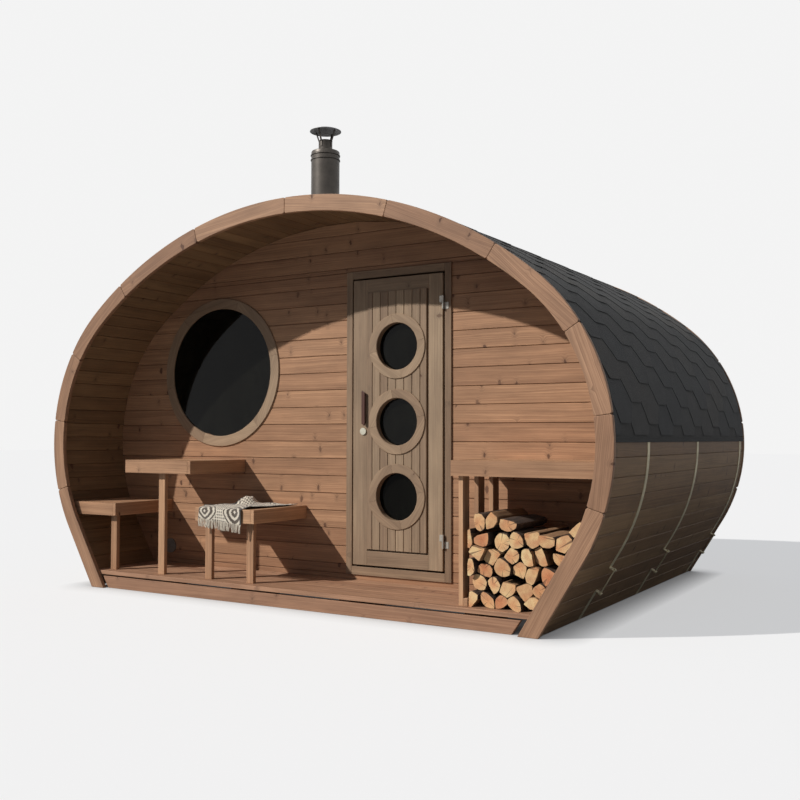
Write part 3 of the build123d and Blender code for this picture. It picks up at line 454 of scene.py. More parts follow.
class Pile:
    """Loose boards and other solids gathered in one mesh, each with its own grain and tone"""

    def __init__(self, seed):
        self.draw = random.Random(seed)
        self.points = []
        self.faces = []
        self.marks = []
        self.grain = []
        self.tone = []
        self.edge = []

    def board(self):
        """Tone and grain offset of a new board"""
        tone = self.draw.random()
        return {"tone": tone, "offset": self.far_off()}

    def far_off(self):
        """Random offset of the grain"""
        return Vector([self.draw.uniform(-30, 30) for _ in range(3)])

    def loft(self, loops, axes, marks=None, tone=None, offset=None, edges=None):
        """Solid skin through closed loops, capped at both ends, with a mark for each side face"""
        if tone is None:
            tone = self.draw.random()
        if offset is None:
            offset = self.far_off()
        start = len(self.points)
        count = len(loops[0])
        for number, loop in enumerate(loops):
            for index, point in enumerate(loop):
                point = Vector(point)
                self.points.append(point)
                self.grain.append(Vector([point.dot(axis) for axis in axes]) + offset)
                self.tone.append(tone)
                self.edge.append(edges[number][index] if edges else 1.0)
        for step in range(len(loops) - 1):
            base = start + step * count
            for index in range(count):
                here, after = base + index, base + (index + 1) % count
                self.faces.append((here, after, after + count, here + count))
                self.marks.append(marks[step][index] if marks else 0)
        end = len(self.points)
        self.faces.append(tuple(range(start + count - 1, start - 1, -1)))
        self.faces.append(tuple(range(end - count, end)))
        self.marks += [0, 0]

    def box(self, corner, far, axes, chamfer=0.0015):
        """Box with small chamfers; the first axis is its long direction"""
        along = max(range(3), key=lambda axis: abs(axes[0][axis]))
        first, second = [axis for axis in range(3) if axis != along]
        a0, a1 = sorted((corner[first], far[first]))
        b0, b1 = sorted((corner[second], far[second]))
        start, end = sorted((corner[along], far[along]))
        middle = ((a0 + a1) / 2, (b0 + b1) / 2)
        c = chamfer
        outline = [(a0 + c, b0), (a1 - c, b0), (a1, b0 + c), (a1, b1 - c)]
        outline += [(a1 - c, b1), (a0 + c, b1), (a0, b1 - c), (a0, b0 + c)]

        def pulled(place, centre, inward):
            """Place moved towards the centre by the chamfer"""
            return place + inward * math.copysign(min(c, abs(place - centre)), centre - place)

        loops = []
        for place, inward in ((start, 1), (start + c, 0), (end - c, 0), (end, 1)):
            loop = []
            for a, b in outline:
                point = [place, place, place]
                point[first] = pulled(a, middle[0], inward)
                point[second] = pulled(b, middle[1], inward)
                loop.append(point)
            loops.append(loop)
        self.loft(loops, axes)

    def build(self, name, materials, body="cabin", replaces=(), smooth=None):
        """Mesh object of the whole pile, riding on its body"""
        mesh = bpy.data.meshes.new(name)
        mesh.from_pydata([tuple(point) for point in self.points], [], self.faces)
        for material in materials:
            mesh.materials.append(material)
        mesh.polygons.foreach_set("material_index", self.marks)
        grain = [part for place in self.grain for part in place]
        mesh.attributes.new("grain", "FLOAT_VECTOR", "POINT").data.foreach_set("vector", grain)
        for key, values in (("tone", self.tone), ("edge", self.edge)):
            mesh.attributes.new(key, "FLOAT", "POINT").data.foreach_set("value", values)
        bm = bmesh.new()
        bm.from_mesh(mesh)
        bmesh.ops.recalc_face_normals(bm, faces=bm.faces)
        bm.to_mesh(mesh)
        bm.free()
        if smooth:
            mesh.polygons.foreach_set("use_smooth", [True] * len(mesh.polygons))
            mesh.set_sharp_from_angle(angle=math.radians(smooth))
        return place_piece(mesh, name, body, replaces)


def place_piece(mesh, name, body, replaces=()):
    """Object from a mesh, riding on a body"""
    piece = bpy.data.objects.new(name, mesh)
    bpy.context.scene.collection.objects.link(piece)
    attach(piece, body)
    if replaces:
        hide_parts(*replaces)
    return piece


X, Y, Z = Vector((1, 0, 0)), Vector((0, 1, 0)), Vector((0, 0, 1))
ALONG_X = (X, Z, Y)
ALONG_X_FLAT = (X, Y, Z)
ALONG_Y = (Y, X, Z)
ALONG_Y_UPRIGHT = (Y, Z, X)
ALONG_Z = (Z, X, Y)
ALONG_Z_SIDE = (Z, Y, X)


def parts_of(bm):
    """Loose parts of a bmesh, as lists of vertices"""
    left = set(bm.verts)
    found = []
    while left:
        stack = [left.pop()]
        part = []
        while stack:
            vert = stack.pop()
            part.append(vert)
            for edge in vert.link_edges:
                other = edge.other_vert(vert)
                if other in left:
                    left.discard(other)
                    stack.append(other)
        found.append(sorted(part, key=lambda vert: vert.index))
    return sorted(found, key=lambda part: part[0].index)


def main_axes(verts):
    """Long, middle and thin direction of a cloud of vertices, by repeated products"""
    rounds = 60
    middle = sum((vert.co for vert in verts), Vector()) / len(verts)
    spread = Matrix(((0, 0, 0), (0, 0, 0), (0, 0, 0)))
    for vert in verts:
        away = vert.co - middle
        for row in range(3):
            for column in range(3):
                spread[row][column] += away[row] * away[column]
    long_axis = Vector((0.5, 0.3, 0.8))
    for _ in range(rounds):
        long_axis = (spread @ long_axis).normalized()
    guess = long_axis.orthogonal().normalized()
    for _ in range(rounds):
        guess = spread @ guess
        guess -= long_axis * guess.dot(long_axis)
        guess.normalize()
    return long_axis, guess, long_axis.cross(guess)


WELD = 1e-5
FLAT_ANGLE = math.radians(0.5)
SHARP_ANGLE = math.radians(35)


def dress(node, name, material, bevel, seed, body="cabin"):
    """Copy of a node with its edges eased and with grain along each loose part"""
    draw = random.Random(seed)
    bm = bmesh.new()
    bm.from_mesh(NODES[node].data)
    bmesh.ops.remove_doubles(bm, verts=bm.verts, dist=WELD)
    bmesh.ops.dissolve_limit(bm, angle_limit=FLAT_ANGLE, verts=bm.verts, edges=bm.edges)
    sharp = [e for e in bm.edges if e.is_manifold and e.calc_face_angle(0) > SHARP_ANGLE]
    easing = {"segments": 2, "profile": 0.6, "affect": "EDGES", "clamp_overlap": True}
    bmesh.ops.bevel(bm, geom=sharp, offset=bevel, **easing)
    grain = bm.verts.layers.float_vector.new("grain")
    tone = bm.verts.layers.float.new("tone")
    bm.verts.index_update()
    for part in parts_of(bm):
        axes = main_axes(part)
        offset = Vector([draw.uniform(-30, 30) for _ in range(3)])
        shade = draw.random()
        for vert in part:
            vert[grain] = Vector([vert.co.dot(axis) for axis in axes]) + offset
            vert[tone] = shade
    mesh = bpy.data.meshes.new(name)
    bm.to_mesh(mesh)
    bm.free()
    mesh.materials.append(material)
    return place_piece(mesh, name, body, (node,))


# Walls of boards with narrow slots between them
BOARD_PITCH = 0.11
BOARD_START = 0.092
GROOVE = 0.0022
SLOT = 0.0016
SLOT_DEPTH = 0.009
LEVELS = 5
ROOM_INSET = 0.0465
FLOOR_LINE = low("front_wall_left").z
WALL_TOP = high("front_wall_left").z
FRAME_LEFT = low("door_jambs").x
FRAME_RIGHT = high("door_jambs").x
FRAME_BOTTOM = low("door_threshold").z
FRAME_TOP = high("door_head").z
WINDOW_LOW, WINDOW_HIGH = low("window_frame"), high("window_frame")
WINDOW_X, WINDOW_Z = (WINDOW_LOW.x + WINDOW_HIGH.x) / 2, (WINDOW_LOW.z + WINDOW_HIGH.z) / 2
WINDOW = Vector((WINDOW_X, WALL_FACE, WINDOW_Z))
WINDOW_OUTER = (WINDOW_HIGH.x - WINDOW_LOW.x) / 2
WINDOW_TRIM = 0.071
REBATE = 0.005
WINDOW_HOLE = WINDOW_OUTER - WINDOW_TRIM + REBATE


def wall_board(pile, bottom, top, left, right, front, back, **given):
    """One tongued board whose ends follow two functions of the height"""
    way = 1 if back > front else -1
    lower, upper = bottom + SLOT, top - SLOT
    span = upper - lower - 2 * GROOVE
    heights = [lower + GROOVE + span * step / LEVELS for step in range(LEVELS + 1)]
    sunk, eased = front + way * SLOT_DEPTH, front + way * GROOVE
    profile = [(back, bottom), (sunk, bottom), (sunk, lower), (eased, lower)]
    profile += [(front, height) for height in heights]
    profile += [(eased, upper), (sunk, upper), (sunk, top), (back, top)]
    profile += [(back, height) for height in reversed(heights[1:-1])]
    loops = [[(end(height), y, height) for y, height in profile] for end in (left, right)]
    pile.loft(loops, ALONG_X, **given)


def chord(height):
    """Half width of the window's hole at a height"""
    return math.sqrt(max(0.0, WINDOW_HOLE**2 - (height - WINDOW.z) ** 2))


def oval_left(height):
    """Left end of the room at a height"""
    return -half_width(height, ROOM_INSET)


def oval_right(height):
    """Right end of the room at a height"""
    return half_width(height, ROOM_INSET)


def board_rows():
    """Bottoms and tops of the wall's boards, from the floor to the crown"""
    rows = []
    bottom = FLOOR_LINE
    top = BOARD_START + BOARD_PITCH
    while bottom < WALL_TOP - 0.002:
        rows.append((bottom, min(top, WALL_TOP)))
        bottom = top
        top += BOARD_PITCH
    return rows


def front_wall():
    """Boards of the porch wall, cut round the window and the door frame"""
    pile = Pile(3)
    window_ends = [lambda height: WINDOW.x - chord(height), lambda height: WINDOW.x + chord(height)]
    door_ends = [lambda height: FRAME_LEFT, lambda height: FRAME_RIGHT]
    for bottom, top in board_rows():
        given = pile.board()
        beside_window = bottom < WINDOW.z + WINDOW_HOLE and top > WINDOW.z - WINDOW_HOLE
        frame_cuts = [cut for cut in (FRAME_BOTTOM, FRAME_TOP) if bottom < cut < top]
        cuts = sorted({bottom, top, *frame_cuts})
        for lower, upper in zip(cuts, cuts[1:]):
            beside_door = upper > FRAME_BOTTOM + 1e-6 and lower < FRAME_TOP - 1e-6
            ends = [oval_left]
            if beside_window:
                ends += window_ends
            if beside_door:
                ends += door_ends
            ends.append(oval_right)
            for left, right in zip(ends[::2], ends[1::2]):
                wall_board(pile, lower, upper, left, right, WALL_FACE, WALL_BACK, **given)
    nodes = [f"front_wall_{part}" for part in ("left", "right", "over_door", "under_door")]
    pile.build("porch_wall_boards", [WALL_WOOD], replaces=nodes)


def rear_wall():
    """Boards of the rear wall, with the slots on the outside"""
    pile = Pile(4)
    face, inside = high("rear_wall").y, low("rear_wall").y
    for bottom, top in board_rows():
        wall_board(pile, bottom, top, oval_left, oval_right, face, inside)
    pile.build("rear_wall_boards", [WALL_WOOD], replaces=("rear_wall",))


# Stave shell
STAVE_COUNT = 38
STAVE_GROOVE = 0.0024
STAVE_SLOT = 0.0012
STAVE_LIP = 0.008


def staves():
    """Long staves round the oval, with eased edges outside and in"""
    pile = Pile(5)
    ends = (FRONT + RING_THICKNESS, BACK - RING_THICKNESS)
    width = FULL_RUN / STAVE_COUNT
    outer, inner = SHELL_INSET, SHELL_INSET + STAVE
    g = STAVE_GROOVE
    for side in (1, -1):
        for number in range(STAVE_COUNT):
            top = number * width
            bottom = top + width
            middle = (top + bottom) / 2
            upper, lower = top + STAVE_SLOT, bottom - STAVE_SLOT
            out, back = outer + STAVE_LIP, inner - STAVE_LIP
            corners = [(upper + g, outer), (middle, outer), (lower - g, outer), (lower, outer + g)]
            corners += [(lower, out), (bottom, out), (bottom, back), (lower, back)]
            corners += [(lower, inner - g), (lower - g, inner), (middle, inner), (upper + g, inner)]
            corners += [(upper, inner - g), (upper, back), (top, back), (top, out)]
            corners += [(upper, out), (upper, outer + g)]
            outline = [rim(run, inset, side) for run, inset in corners]
            if number == STAVE_COUNT - 1:
                outline = [(x, max(z, 0.0)) for x, z in outline]
            x, z = rim(middle, 0.0, side)
            x_top, z_top = rim(top, 0.0, side)
            across = Vector((x - x_top, 0, z - z_top)).normalized()
            pile.loft(sheet_loops(outline, ends), (Y, across, Y.cross(across)))
    names = ("crown_left", "crown_right", "haunches", "shoulders", "upper_sides", "lower_sides")
    nodes = [f"shell_{name}" for name in (*names, "feet")]
    pile.build("shell_staves", [STAVE_WOOD], replaces=nodes)


# Roof of hexagonal shingles
TAB = 0.155
COURSE = 0.1125
FIRST_COURSE = 2.7325
FIRST_TAB = 0.445
COURSE_SHIFT = 0.016
TAB_RISE = 0.0022
TAB_EDGE = 0.007
TAB_THICKNESS = 0.0016
CAP_LENGTH = 0.17
CAP_HALF = 0.14
CAP_STEPS = 6
UNDERLAY_STEPS = 60
ROOF_START = FRONT + RING_THICKNESS + 0.0005
ROOF_END = BACK - RING_THICKNESS - 0.0005
EAVES = math.asin((low("roof_edges").z - SIDE_HEIGHT) / SIDE_RADIUS)
ROOF_RUN = TOP_RUN + SIDE_RADIUS * (SHOULDER_ANGLE - EAVES)


def roof_point(run, y, inset):
    """Point on the roof; a negative run lies on the left side"""
    x, z = rim(abs(run), inset, 1 if run >= 0 else -1)
    return (x, y, z)


def shingle_tab(pile, side, bottom, centre_y):
    """One hexagonal tab of a course, thicker towards its lower edge"""
    rows = [(0.0, 0.5), (TAB_EDGE, 0.5 + 0.5 * TAB_EDGE / COURSE), (COURSE * 0.5, 0.75)]
    rows += [(COURSE, 1.0), (COURSE * 1.5, 1.0), (COURSE * 2.0, 1.0)]
    lift = pile.draw.uniform(0.0, 0.0006)
    loops = []
    edges = []
    for up, share in rows:
        run = bottom - up
        if run < 0 or run > ROOF_RUN:
            continue
        start = max(centre_y - share * TAB, ROOF_START)
        end = min(centre_y + share * TAB, ROOF_END)
        if end - start < 0.004:
            return
        inset = 0.0004 + lift + TAB_RISE * up / COURSE
        slim = min(0.006, (end - start) * 0.3)
        places = [start, start + slim, (start + end) / 2, end - slim, end]
        # Edge value 0 on the lower edge, on the sides of the lower half and on the underside gives
        # painted shade in the shingle material
        near = [1.0] * 5
        if up == 0:
            near = [0.0] * 5
        elif up < COURSE:
            near[0] = near[4] = 0.0
        loop = [roof_point(side * run, y, inset) for y in places]
        loop += [roof_point(side * run, y, inset + TAB_THICKNESS) for y in reversed(places)]
        loops.append(loop)
        edges.append(near + [0.0] * 5)
    if len(loops) > 1:
        pile.loft(loops, ALONG_Y, edges=edges)


def underlay(pile, side):
    """Plain sheet under the tabs, darkened as painted shade by its low edge value"""
    top, under = 0.0052, 0.006
    corners = [(ROOF_START, top), (ROOF_END, top), (ROOF_END, under), (ROOF_START, under)]
    loops = []
    for step in range(UNDERLAY_STEPS + 1):
        run = max(ROOF_RUN * step / UNDERLAY_STEPS, 0.0001)
        loops.append([roof_point(side * run, y, inset) for y, inset in corners])
    # Edge value 0.4 paints the whole sheet darker, as shade under the tabs
    pile.loft(loops, ALONG_Y, edges=[[0.4] * 4] * len(loops))


def roof():
    """Courses of hexagonal tabs down both sides, and caps along the crown"""
    pile = Pile(6)
    count = int((ROOF_END - ROOF_START) / (3 * TAB)) + 3
    for side in (1, -1):
        underlay(pile, side)
        course = 0
        bottom = FIRST_COURSE
        while bottom > -COURSE:
            shift = 1.5 * TAB * (course % 2)
            for number in range(-2, count):
                centre_y = FRONT + FIRST_TAB + shift + number * 3 * TAB - COURSE_SHIFT * course
                shingle_tab(pile, side, bottom, centre_y)
            bottom -= COURSE
            course += 1
    y = ROOF_END
    runs = [CAP_HALF * step / CAP_STEPS for step in range(-CAP_STEPS, CAP_STEPS + 1)]
    inner_count = len(runs) - 2
    while y > ROOF_START:
        loops = []
        edges = []
        for share in (0.0, 0.04, 0.5, 1.0):
            place = max(y - CAP_LENGTH * 1.6 * share, ROOF_START)
            inset = -0.0012 + TAB_RISE * share
            loop = [roof_point(run, place, inset) for run in runs]
            loop += [roof_point(run, place, inset + 0.002) for run in reversed(runs)]
            loops.append(loop)
            # Edge value 0 along the lower end and sides of each cap, and on its underside, gives
            # painted shade
            near = [0.0] + [0.0 if share == 0 else 1.0] * inner_count + [0.0]
            edges.append(near + [0.0] * len(runs))
        pile.loft(loops, ALONG_Y, edges=edges)
        y -= CAP_LENGTH
    pile.build("roof_shingles", [SHINGLE], replaces=("roof_cover",), smooth=30)


# Floors, tops and the wood store
FLOOR_BOARD = 0.12
FLOOR_GAP = 0.002
TOP_GAP = 0.002
RIM_BOARD = 0.027
SLATS = 5
STORE_SLAT_PITCH = 0.183
STORE_SLAT = 0.075
STORE_RAIL = 0.042


def floor_boards(node, name, seed):
    """Deck or floor boards that run across, with narrow gaps"""
    pile = Pile(seed)
    start, end = low(node), high(node)
    count = round((end.y - start.y) / FLOOR_BOARD)
    pitch = (end.y - start.y) / count
    c = 0.002
    for number in range(count):
        front = start.y + number * pitch + (FLOOR_GAP if number else 0.0)
        back = start.y + (number + 1) * pitch
        profile = [(front, start.z), (back, start.z), (back, end.z - c), (back - c, end.z)]
        profile += [(front + c, end.z), (front, end.z - c)]
        ends = (oval_left, oval_right)
        pile.loft([[(side(z), y, z) for y, z in profile] for side in ends], ALONG_X_FLAT)
    pile.build(name, [DECK_WOOD], replaces=(node,))


def slats(pile, left, right, start, end):
    """Slats that run across behind a rim board"""
    width = (end.y - start.y - RIM_BOARD) / SLATS
    for number in range(SLATS):
        front = start.y + RIM_BOARD + number * width + TOP_GAP
        corner = (left, front, end.z - RIM_BOARD)
        pile.box(corner, (right, front + width - TOP_GAP, end.z - 0.001), ALONG_X_FLAT)


def porch_top(node, seed):
    """Table or bench top: a deep rim board round slats"""
    pile = Pile(seed)
    start, end = low(node), high(node)
    left = start.x + (0.0 if start.x > -1.5 else 0.005)
    right = end.x - RIM_BOARD
    back_edge = start.y + RIM_BOARD
    if node == "left_bench_seat":
        inner_left = oval_left(end.z)
        profile = [(oval_left(start.z), start.z), (right, start.z), (right, end.z)]
        pile.loft(sheet_loops(profile + [(inner_left, end.z)], (start.y, back_edge)), ALONG_X)
        pile.box((right, start.y, start.z), end, ALONG_Y_UPRIGHT)
    else:
        inner_left = left + RIM_BOARD
        pile.box((left, start.y, start.z), (right, back_edge, end.z), ALONG_X)
        pile.box((right, start.y, start.z), end, ALONG_Y_UPRIGHT)
        pile.box((left, back_edge, start.z), (inner_left, end.y, end.z), ALONG_Y_UPRIGHT)
    slats(pile, inner_left, right, start, end)
    pile.build(f"{node}_boards", [TOP_WOOD], replaces=(node,))


def store():
    """Shelf with a deep front board, and slats on two rails under it"""
    shelf = Pile(21)
    start, end = low("store_shelf"), high("store_shelf")
    back_edge = start.y + RIM_BOARD
    profile = [(start.x, start.z), (oval_right(start.z), start.z)]
    profile += [(oval_right(end.z), end.z), (start.x, end.z)]
    shelf.loft(sheet_loops(profile, (start.y, back_edge)), ALONG_X)
    inner = start.x + RIM_BOARD
    shelf.box((start.x, back_edge, start.z), (inner, end.y, end.z), ALONG_Y_UPRIGHT)
    slats(shelf, inner, oval_right(end.z), start, end)
    shelf.build("store_shelf_boards", [TOP_WOOD], replaces=("store_shelf",))
    side = Pile(22)
    start, end = low("store_side"), high("store_side")
    inner = start.x + RIM_BOARD
    for number in range(3):
        front = start.y + number * STORE_SLAT_PITCH
        side.box((start.x, front, start.z), (inner, front + STORE_SLAT, end.z), ALONG_Z_SIDE)
    for bottom in (start.z, end.z - STORE_RAIL):
        far = (inner + RIM_BOARD, end.y, bottom + STORE_RAIL)
        side.box((inner, start.y, bottom), far, ALONG_Y_UPRIGHT)
    side.build("store_side_slats", [TOP_WOOD], replaces=("store_side",))


# Round trims
TRIM_GAP = 0.0006
TRIM_EASE = 0.003
TRIM_STEPS = 12
SLEEVE = 0.0045


def turned(centre, turn, profile):
    """Loop of (radius, y) points at one turn round a centre"""
    cosine, sine = turn
    radial = Vector((cosine, 0, sine))
    return [centre + radial * reach + Y * (y - centre.y) for reach, y in profile]


def ring_trim(pile, centre, inner, outer, front, back, hole_back, pieces, shift):
    """Turned trim of several segments, with a thin sleeve through the hole behind it"""
    c = TRIM_EASE
    gap = TRIM_GAP / outer
    profile = [(inner, front + c), (inner + c, front), (outer - c, front), (outer, front + c)]
    profile += [(outer, back), (inner, back)]
    for number in range(pieces):
        start = 2 * math.pi * (number + shift) / pieces + gap
        end = 2 * math.pi * (number + 1 + shift) / pieces - gap
        turns = [start + (end - start) * step / TRIM_STEPS for step in range(TRIM_STEPS + 1)]
        loops = [turned(centre, (math.cos(turn), math.sin(turn)), profile) for turn in turns]
        middle = (start + end) / 2
        across = Vector((math.cos(middle), 0, math.sin(middle)))
        pile.loft(loops, (across.cross(Y), across, Y))
    wall = inner + SLEEVE
    profile = [(inner, back), (wall, back), (wall, hole_back), (inner, hole_back)]
    pile.loft([turned(centre, turn, profile) for turn in full_turn(64)], (Z, X, Y))


def panes(name, centres, radius, node, body):
    """Round panes with a fine bevel at the rim"""
    pile = Pile(31)
    front, back = low(node).y, high(node).y
    bevel = 0.001
    profile = [(radius - bevel, front), (radius, front + bevel)]
    profile += [(radius, back - bevel), (radius - bevel, back)]
    for centre in centres:
        loops = []
        for reach, y in profile:
            turns = full_turn(72)[:-1]
            loops.append([(centre.x + reach * c, y, centre.z + reach * s) for c, s in turns])
        pile.loft(loops, ALONG_X)
    pile.build(name, [GLASS], body=body, replaces=(node,))


# Door leaf
PORTHOLE_TRIM = 0.056
PORTHOLE_HEIGHTS = (0.635, 1.093, 1.557)
DOOR_BOARD = 0.0571
FIRST_DOOR_BOARD = 0.0393
DOOR_GROOVE = 0.0025
DOOR_SLOT = 0.0012
SHADOW_LINE = 0.011


def panel_boards(start, end, centres, hidden):
    """Upright boards cut round the portholes, with a shadow line at the right and at the foot"""
    pile = Pile(43)
    edges = [start.x, start.x + FIRST_DOOR_BOARD]
    while edges[-1] + DOOR_BOARD < end.x - 0.02:
        edges.append(edges[-1] + DOOR_BOARD)
    edges.append(end.x)
    sunk = start.y + 0.6 * (end.y - start.y)
    slot_y = start.y + SLOT_DEPTH
    groove_y = start.y + DOOR_GROOVE
    for left, right in zip(edges, edges[1:]):
        last = right == end.x
        face_start = left + DOOR_SLOT
        face_end = right - (SHADOW_LINE if last else DOOR_SLOT)
        side_y = sunk if last else slot_y
        profile = [(face_start + DOOR_GROOVE, start.y), (face_end - DOOR_GROOVE, start.y)]
        profile += [(face_end, groove_y), (face_end, side_y), (right, side_y), (right, end.y)]
        profile += [(left, end.y), (left, slot_y), (face_start, slot_y), (face_start, groove_y)]
        foot = [(x, max(y, sunk)) for x, y in profile]
        stops = [start.z]
        for centre in centres:
            nearest = max(0.0, max(left - centre.x, centre.x - right))
            if nearest < hidden:
                half = math.sqrt(hidden**2 - nearest**2)
                stops += [centre.z - half, centre.z + half]
        stops.append(end.z)
        given = pile.board()
        for bottom, top in zip(stops[::2], stops[1::2]):
            levels = [(bottom, profile), (top, profile)]
            if bottom == start.z:
                line = bottom + SHADOW_LINE
                levels = [(bottom, foot), (line, foot), (line + 0.0005, profile), (top, profile)]
            pile.loft([[(x, y, z) for x, y in shape] for z, shape in levels], ALONG_Z, **given)
    pile.build("door_panel_boards", [FRAME_WOOD], "door", ("door_panel",))


def door():
    """Frame, boarded panel, trims and panes of the door"""
    dress("door_stiles", "door_stile_boards", FRAME_WOOD, 0.0025, 41, "door")
    dress("door_rails", "door_rail_boards", FRAME_WOOD, 0.0025, 42, "door")
    start, end = low("door_panel"), high("door_panel")
    ring_low, ring_high = low("porthole_rings"), high("porthole_rings")
    outer = (ring_high.x - ring_low.x) / 2
    inner = outer - PORTHOLE_TRIM
    middle = (ring_low.x + ring_high.x) / 2
    centres = [Vector((middle, start.y, height)) for height in PORTHOLE_HEIGHTS]
    panel_boards(start, end, centres, inner + 0.004)
    trims = Pile(44)
    for centre in centres:
        ring_trim(trims, centre, inner, outer, ring_low.y, ring_high.y, end.y, 4, 0.12)
    node = ("porthole_rings",)
    trims.build("porthole_trims", [TRIM_WOOD], "door", node, smooth=32)
    panes("porthole_panes", centres, inner + 0.001, "porthole_glass", "door")


def window():
    """Round trim and pane of the big window"""
    pile = Pile(45)
    depths = (WINDOW_LOW.y, WINDOW_HIGH.y, WALL_BACK)
    ring_trim(pile, WINDOW, WINDOW_OUTER - WINDOW_TRIM, WINDOW_OUTER, *depths, 6, 0.2)
    node = ("window_frame",)
    pile.build("window_trim", [TRIM_WOOD], replaces=node, smooth=32)
    panes("window_pane", [WINDOW], WINDOW_HOLE - 0.0006, "window_glass", "cabin")


# Chimney
PIPE_RADIUS = 0.099
PIPE_TOP = 2.998
BEAD = 0.005
BEAD_HEIGHTS = (2.936, 2.969)
BEAD_STEPS = 6
FLUE = 0.048
FLUE_SHEET = 0.004
CAP_SHEET = 0.0025
CONE_STEPS = 8
TIP = 0.0004


def lathe(pile, centre, profile, segments):
    """Closed turned solid from a closed profile of (radius, height)"""
    loops = []
    for cosine, sine in full_turn(segments):
        loops.append([(centre.x + r * cosine, centre.y + r * sine, z) for r, z in profile])
    pile.loft(loops, ALONG_Z)


def chimney():
    """Pipe with rolled beads, flue and cap"""
    start, end = low("chimney_pipe"), high("chimney_pipe")
    centre = (start + end) / 2
    bore = FLUE - FLUE_SHEET
    outline = [(bore, start.z), (PIPE_RADIUS, start.z)]
    for height in BEAD_HEIGHTS:
        for step in range(BEAD_STEPS + 1):
            turn = math.pi * step / BEAD_STEPS
            outline.append((PIPE_RADIUS + BEAD * math.sin(turn), height - BEAD * math.cos(turn)))
    outline += [(PIPE_RADIUS, PIPE_TOP - 0.006), (PIPE_RADIUS - 0.003, PIPE_TOP - 0.001)]
    outline += [(PIPE_RADIUS - 0.012, PIPE_TOP + 0.003), (FLUE + 0.006, PIPE_TOP + 0.009)]
    outline += [(FLUE, PIPE_TOP + 0.012), (FLUE, end.z - 0.004), (FLUE + 0.0012, end.z - 0.002)]
    outline += [(FLUE + 0.0005, end.z), (bore + 0.0005, end.z), (bore, end.z - 0.002)]
    pile = Pile(51)
    lathe(pile, centre, outline, 72)
    node = ("chimney_pipe",)
    pile.build("chimney_sheet", [CHIMNEY_STEEL], replaces=node, smooth=35)
    start, end = low("chimney_cap"), high("chimney_cap")
    radius = (end.x - start.x) / 2
    outer = []
    for step in range(CONE_STEPS + 1):
        share = step / CONE_STEPS
        height = end.z - (end.z - start.z - CAP_SHEET) * share**1.25
        outer.append((max(TIP, radius * share), height))
    inner = [(max(TIP, r - 0.001), z - CAP_SHEET) for r, z in reversed(outer)]
    cap = Pile(52)
    lathe(cap, centre, outer + [(radius, start.z)] + inner, 64)
    node = ("chimney_cap",)
    cap.build("cap_sheet", [CAP_STEEL], replaces=node, smooth=35)


# Logs
END_GRAIN, SPLIT_FACE, BARK_FACE = 0, 1, 2
LOG_STEP = 0.009
LOG_SLANT = 0.12
ROUND_LOG = math.radians(100)


def rounded(outline, share):
    """Closed outline with each corner cut at a share of its edges"""
    result = []
    for index, point in enumerate(outline):
        result.append(point.lerp(outline[index - 1], share))
        result.append(point.lerp(outline[(index + 1) % len(outline)], share))
    return result


def corner_angle(outline, index):
    """Inner angle of a closed outline at one of its points"""
    before = outline[index - 1] - outline[index]
    after = outline[(index + 1) % len(outline)] - outline[index]
    return before.angle(after)


def firewood():
    """Rounds and wedges in the cells of the solid stack, with bark on their outer side"""
    bm = bmesh.new()
    bm.from_mesh(NODES["firewood"].data)
    bmesh.ops.remove_doubles(bm, verts=bm.verts, dist=WELD)
    bm.verts.index_update()
    pile = Pile(61)
    draw = pile.draw
    stack_face = low("firewood").y + 0.04
    for part in parts_of(bm):
        front = 0.6 * stack_face + 0.4 * min(vert.co.y for vert in part)
        back = max(vert.co.y for vert in part)
        outline = [Vector((v.co.x, v.co.z)) for v in part if v.co.y > back - 0.001]
        middle = sum(outline, Vector((0, 0))) / len(outline)
        outline.sort(key=lambda point: math.atan2(point.y - middle.y, point.x - middle.x))
        angles = [corner_angle(outline, index) for index in range(len(outline))]
        sharpest = angles.index(min(angles))
        if angles[sharpest] > ROUND_LOG:
            pith = middle + Vector([draw.uniform(-0.008, 0.008) for _ in range(2)])
            barked = 0.0
            outline = rounded(outline, 0.3)
        else:
            pith = middle.lerp(outline[sharpest], 0.85)
            barked = 0.75
            outline = rounded(outline, 0.07)
        fine = []
        for index, point in enumerate(outline):
            after = outline[(index + 1) % len(outline)]
            count = max(1, int((after - point).length / LOG_STEP))
            fine += [point.lerp(after, step / count) for step in range(count)]
        reach = max((point - pith).length for point in fine)
        seed = Vector([draw.uniform(0, 90) for _ in range(3)])
        slant = Vector([draw.uniform(-LOG_SLANT, LOG_SLANT) for _ in range(2)])
        marks = []
        for index, point in enumerate(fine):
            after = fine[(index + 1) % len(fine)]
            away = ((point + after) / 2 - pith).length / reach
            marks.append(BARK_FACE if away > barked else SPLIT_FACE)
        # Place along the log, size of the outline and nearness to the rim of the end
        rows = [(front, 0.86, 1.0), (front, 0.975, 0.5), (front + 0.002, 1.0, 0.0)]
        rows += [(front + (back - front) * step / 6, 1.0, 0.0) for step in range(1, 6)]
        rows += [(back - 0.003, 0.985, 0.0), (back, 0.95, 0.5), (back, 0.84, 1.0)]
        loops = []
        edges = []
        faces = []
        for number, (y, size, near) in enumerate(rows):
            loop = []
            for point in fine:
                rough = noise.noise(Vector((point.x * 55, y * 9, point.y * 55)) + seed)
                place = middle + (point - middle) * (size + 0.022 + 0.04 * rough)
                tilt = max(0.0, (place - middle).dot(slant)) if y < front + 0.01 else 0.0
                loop.append((place.x, y + tilt, place.y))
            loops.append(loop)
            edges.append([near] * len(loop))
            at_end = number in (0, len(rows) - 2)
            faces.append([END_GRAIN] * len(marks) if at_end else marks)
        offset = Vector((draw.uniform(-30, 30), -pith.x, -pith.y))
        tone = draw.random()
        pile.loft(loops, ALONG_Y, marks=faces, tone=tone, offset=offset, edges=edges)
    bm.free()
    node = ("firewood",)
    pile.build("firewood_logs", LOG_MATERIALS, replaces=node, smooth=40)


